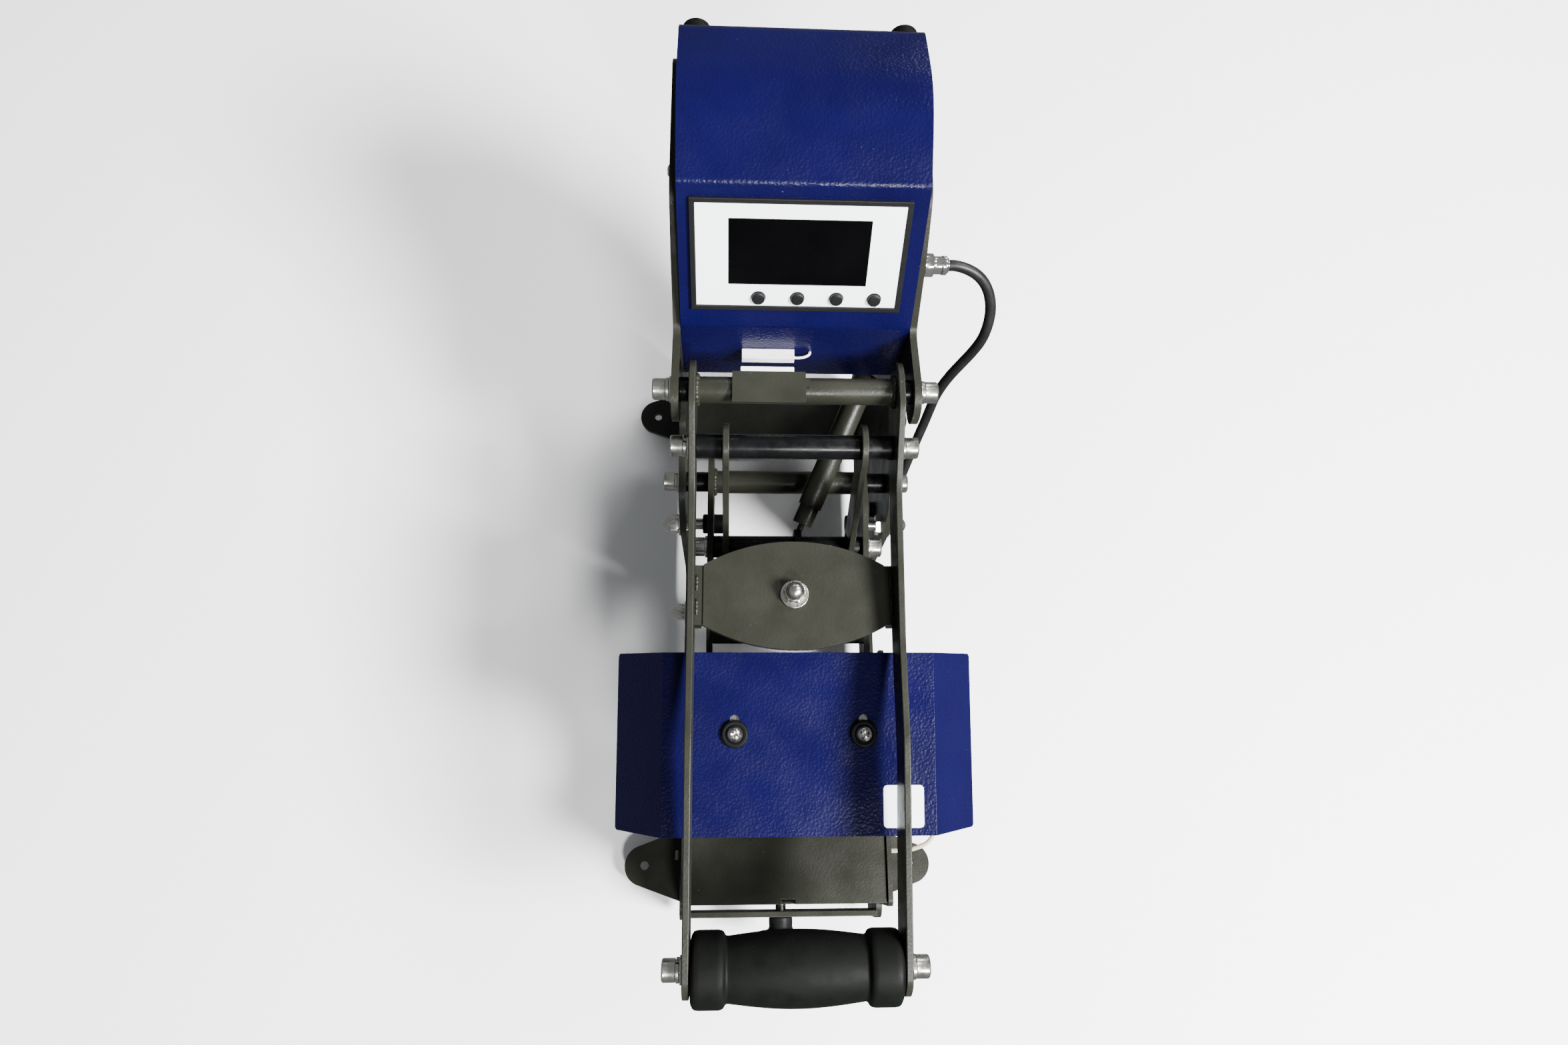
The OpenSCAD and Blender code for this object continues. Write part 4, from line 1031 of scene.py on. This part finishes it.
nut_rings = [round_ring(socket_at, h, r, chamfered(7.2), FINE)
             for h, r in ((0, 7.6), (0.5, 8), (2.6, 8), (3.1, 7.6))]
flange = [add_mesh("socket_nut", *loft(nut_rings), NICKEL, 30),
          turned("socket_shell", Vector((SIDE_IN - 6 * MM, SOCKET.y, SOCKET.z)), (1, 0, 0),
                 [(0.01, 0), (5.9, 0), (5.9, 15), (0.01, 15)], NICKEL, 0.4)]
stand_for(joined("socket_set", flange), "chrome_plating", "frame", "cable_socket")
plug_parts = [knurled_ring(socket_at, 4.6, 10.4, 7.2, NICKEL),
              turned("plug_shell", Vector((SIDE_OUT, SOCKET.y, SOCKET.z)), (1, 0, 0),
                     [(0.01, 10), (6.0, 10.4), (5.5, 11.4), (5.5, 15.4), (5.9, 16), (5.9, 18.6), (4.6, 19.4),
                      (4.6, 20), (0.01, 20)], NICKEL, 0.4)]
for turn in (0.9, 0.9 + math.pi):
    across = Vector((0, math.cos(turn), math.sin(turn)))
    seat = place(Vector((SIDE_OUT + 17.2 * MM, SOCKET.y, SOCKET.z)) + across * 5.2 * MM, across)
    plug_parts.append(dome_screw(seat, 0, 1.5, 0.9, 2, NICKEL))
plug = joined("plug_set", plug_parts)
stand_for(plug, "chrome_plating", "frame", "cable_plug")

elbow = tube_path([mm(*p) for p in (
    (SIDE_OUT / MM + 2.5, 62, 130), (79.5, 62.6, 130.8), (81.8, 64.3, 133.8), (83, 67.5, 139.3),
    (83.5, 70.4, 144.8))], 6)
elbow_rings = []
for i, p in enumerate(elbow):
    ahead = (elbow[min(i + 1, len(elbow) - 1)] - elbow[max(i - 1, 0)]).normalized()
    share = i / (len(elbow) - 1)
    r = 6.5 - 1.6 * share + 0.25 * (i % 4 < 2) * (i > 6)
    elbow_rings.append(round_ring(place(p, ahead), 0, r))
gland = [add_mesh("gland_elbow", *loft(elbow_rings), BLACK, 50),
         turned("gland_nut", Vector((SIDE_IN - 4 * MM, GLAND.y, GLAND.z)), (1, 0, 0),
                [(0.01, 0), (5.9, 0), (5.9, 8.5), (8, 8.5), (8, 11.5), (6.4, 11.6), (0.01, 11.7)],
                BLACK, 0.5)]
stand_for(joined("gland_set", gland), "black_plastic", "frame", "cable_gland")

# ---------------------------------------------------------------- mains inlet's contacts
contacts = []
upright = Matrix(((1, 0, 0, 0), (0, 0, 1, 0), (0, 1, 0, 0), (0, 0, 0, 1)))
for x, z in ((-16, 285), (-9, 291), (-2, 285)):
    outline = [(x - 1.1, z - 0.1), (x + 1.1, z - 0.1), (x + 1.1, z + 4.1), (x - 1.1, z + 4.1)]
    contacts.append(prism("contact", upright, outline, 246, 258.2, BRASS))
stand_for(joined("inlet_contacts", contacts), "zinc_hardware", "frame")

# ---------------------------------------------------------------- floor and lights
FLOOR_R = 6
floor_corners = [(-FLOOR_R, -FLOOR_R, 0), (FLOOR_R, -FLOOR_R, 0),
                 (FLOOR_R, FLOOR_R, 0), (-FLOOR_R, FLOOR_R, 0)]
floor_mesh = bpy.data.meshes.new("floor")
floor_mesh.from_pydata(floor_corners, [], [(0, 1, 2, 3)])
floor = bpy.data.objects.new("floor", floor_mesh)
bpy.context.scene.collection.objects.link(floor)
floor_mesh.materials.append(Recipe("pale_floor", (0.93, 0.93, 0.93), 0.6).mottle(3, 0.01).mat)
floor.visible_glossy = False  # its bright reflection would veil the dark paints


def soft_light(name, place_at, aim, size, watts):
    """A round area light that faces aim."""
    data = bpy.data.lights.new(name, "AREA")
    data.shape = "DISK"
    data.size = size
    data.energy = watts
    obj = bpy.data.objects.new(name, data)
    obj.location = place_at
    obj.rotation_euler = (Vector(aim) - Vector(place_at)).to_track_quat("-Z", "Y").to_euler()
    bpy.context.scene.collection.objects.link(obj)


soft_light("key", (1.45, -0.9, 1.95), (0.0, 0.0, 0.15), 0.75, 330)
soft_light("top", (1.5, 1.1, 2.3), (0.0, 0.0, 0.1), 0.9, 70)
soft_light("front", (0.35, -1.6, 1.9), (0.0, 0.0, 0.25), 0.35, 62)
soft_light("back", (0.7, 1.7, 1.0), (0.0, 0.1, 0.3), 0.3, 8)

world = bpy.data.worlds.new("studio")
bpy.context.scene.world = world
world.use_nodes = True
world.node_tree.nodes["Background"].inputs["Color"].default_value = (0.93, 0.96, 1, 1)
world.node_tree.nodes["Background"].inputs["Strength"].default_value = 0.28
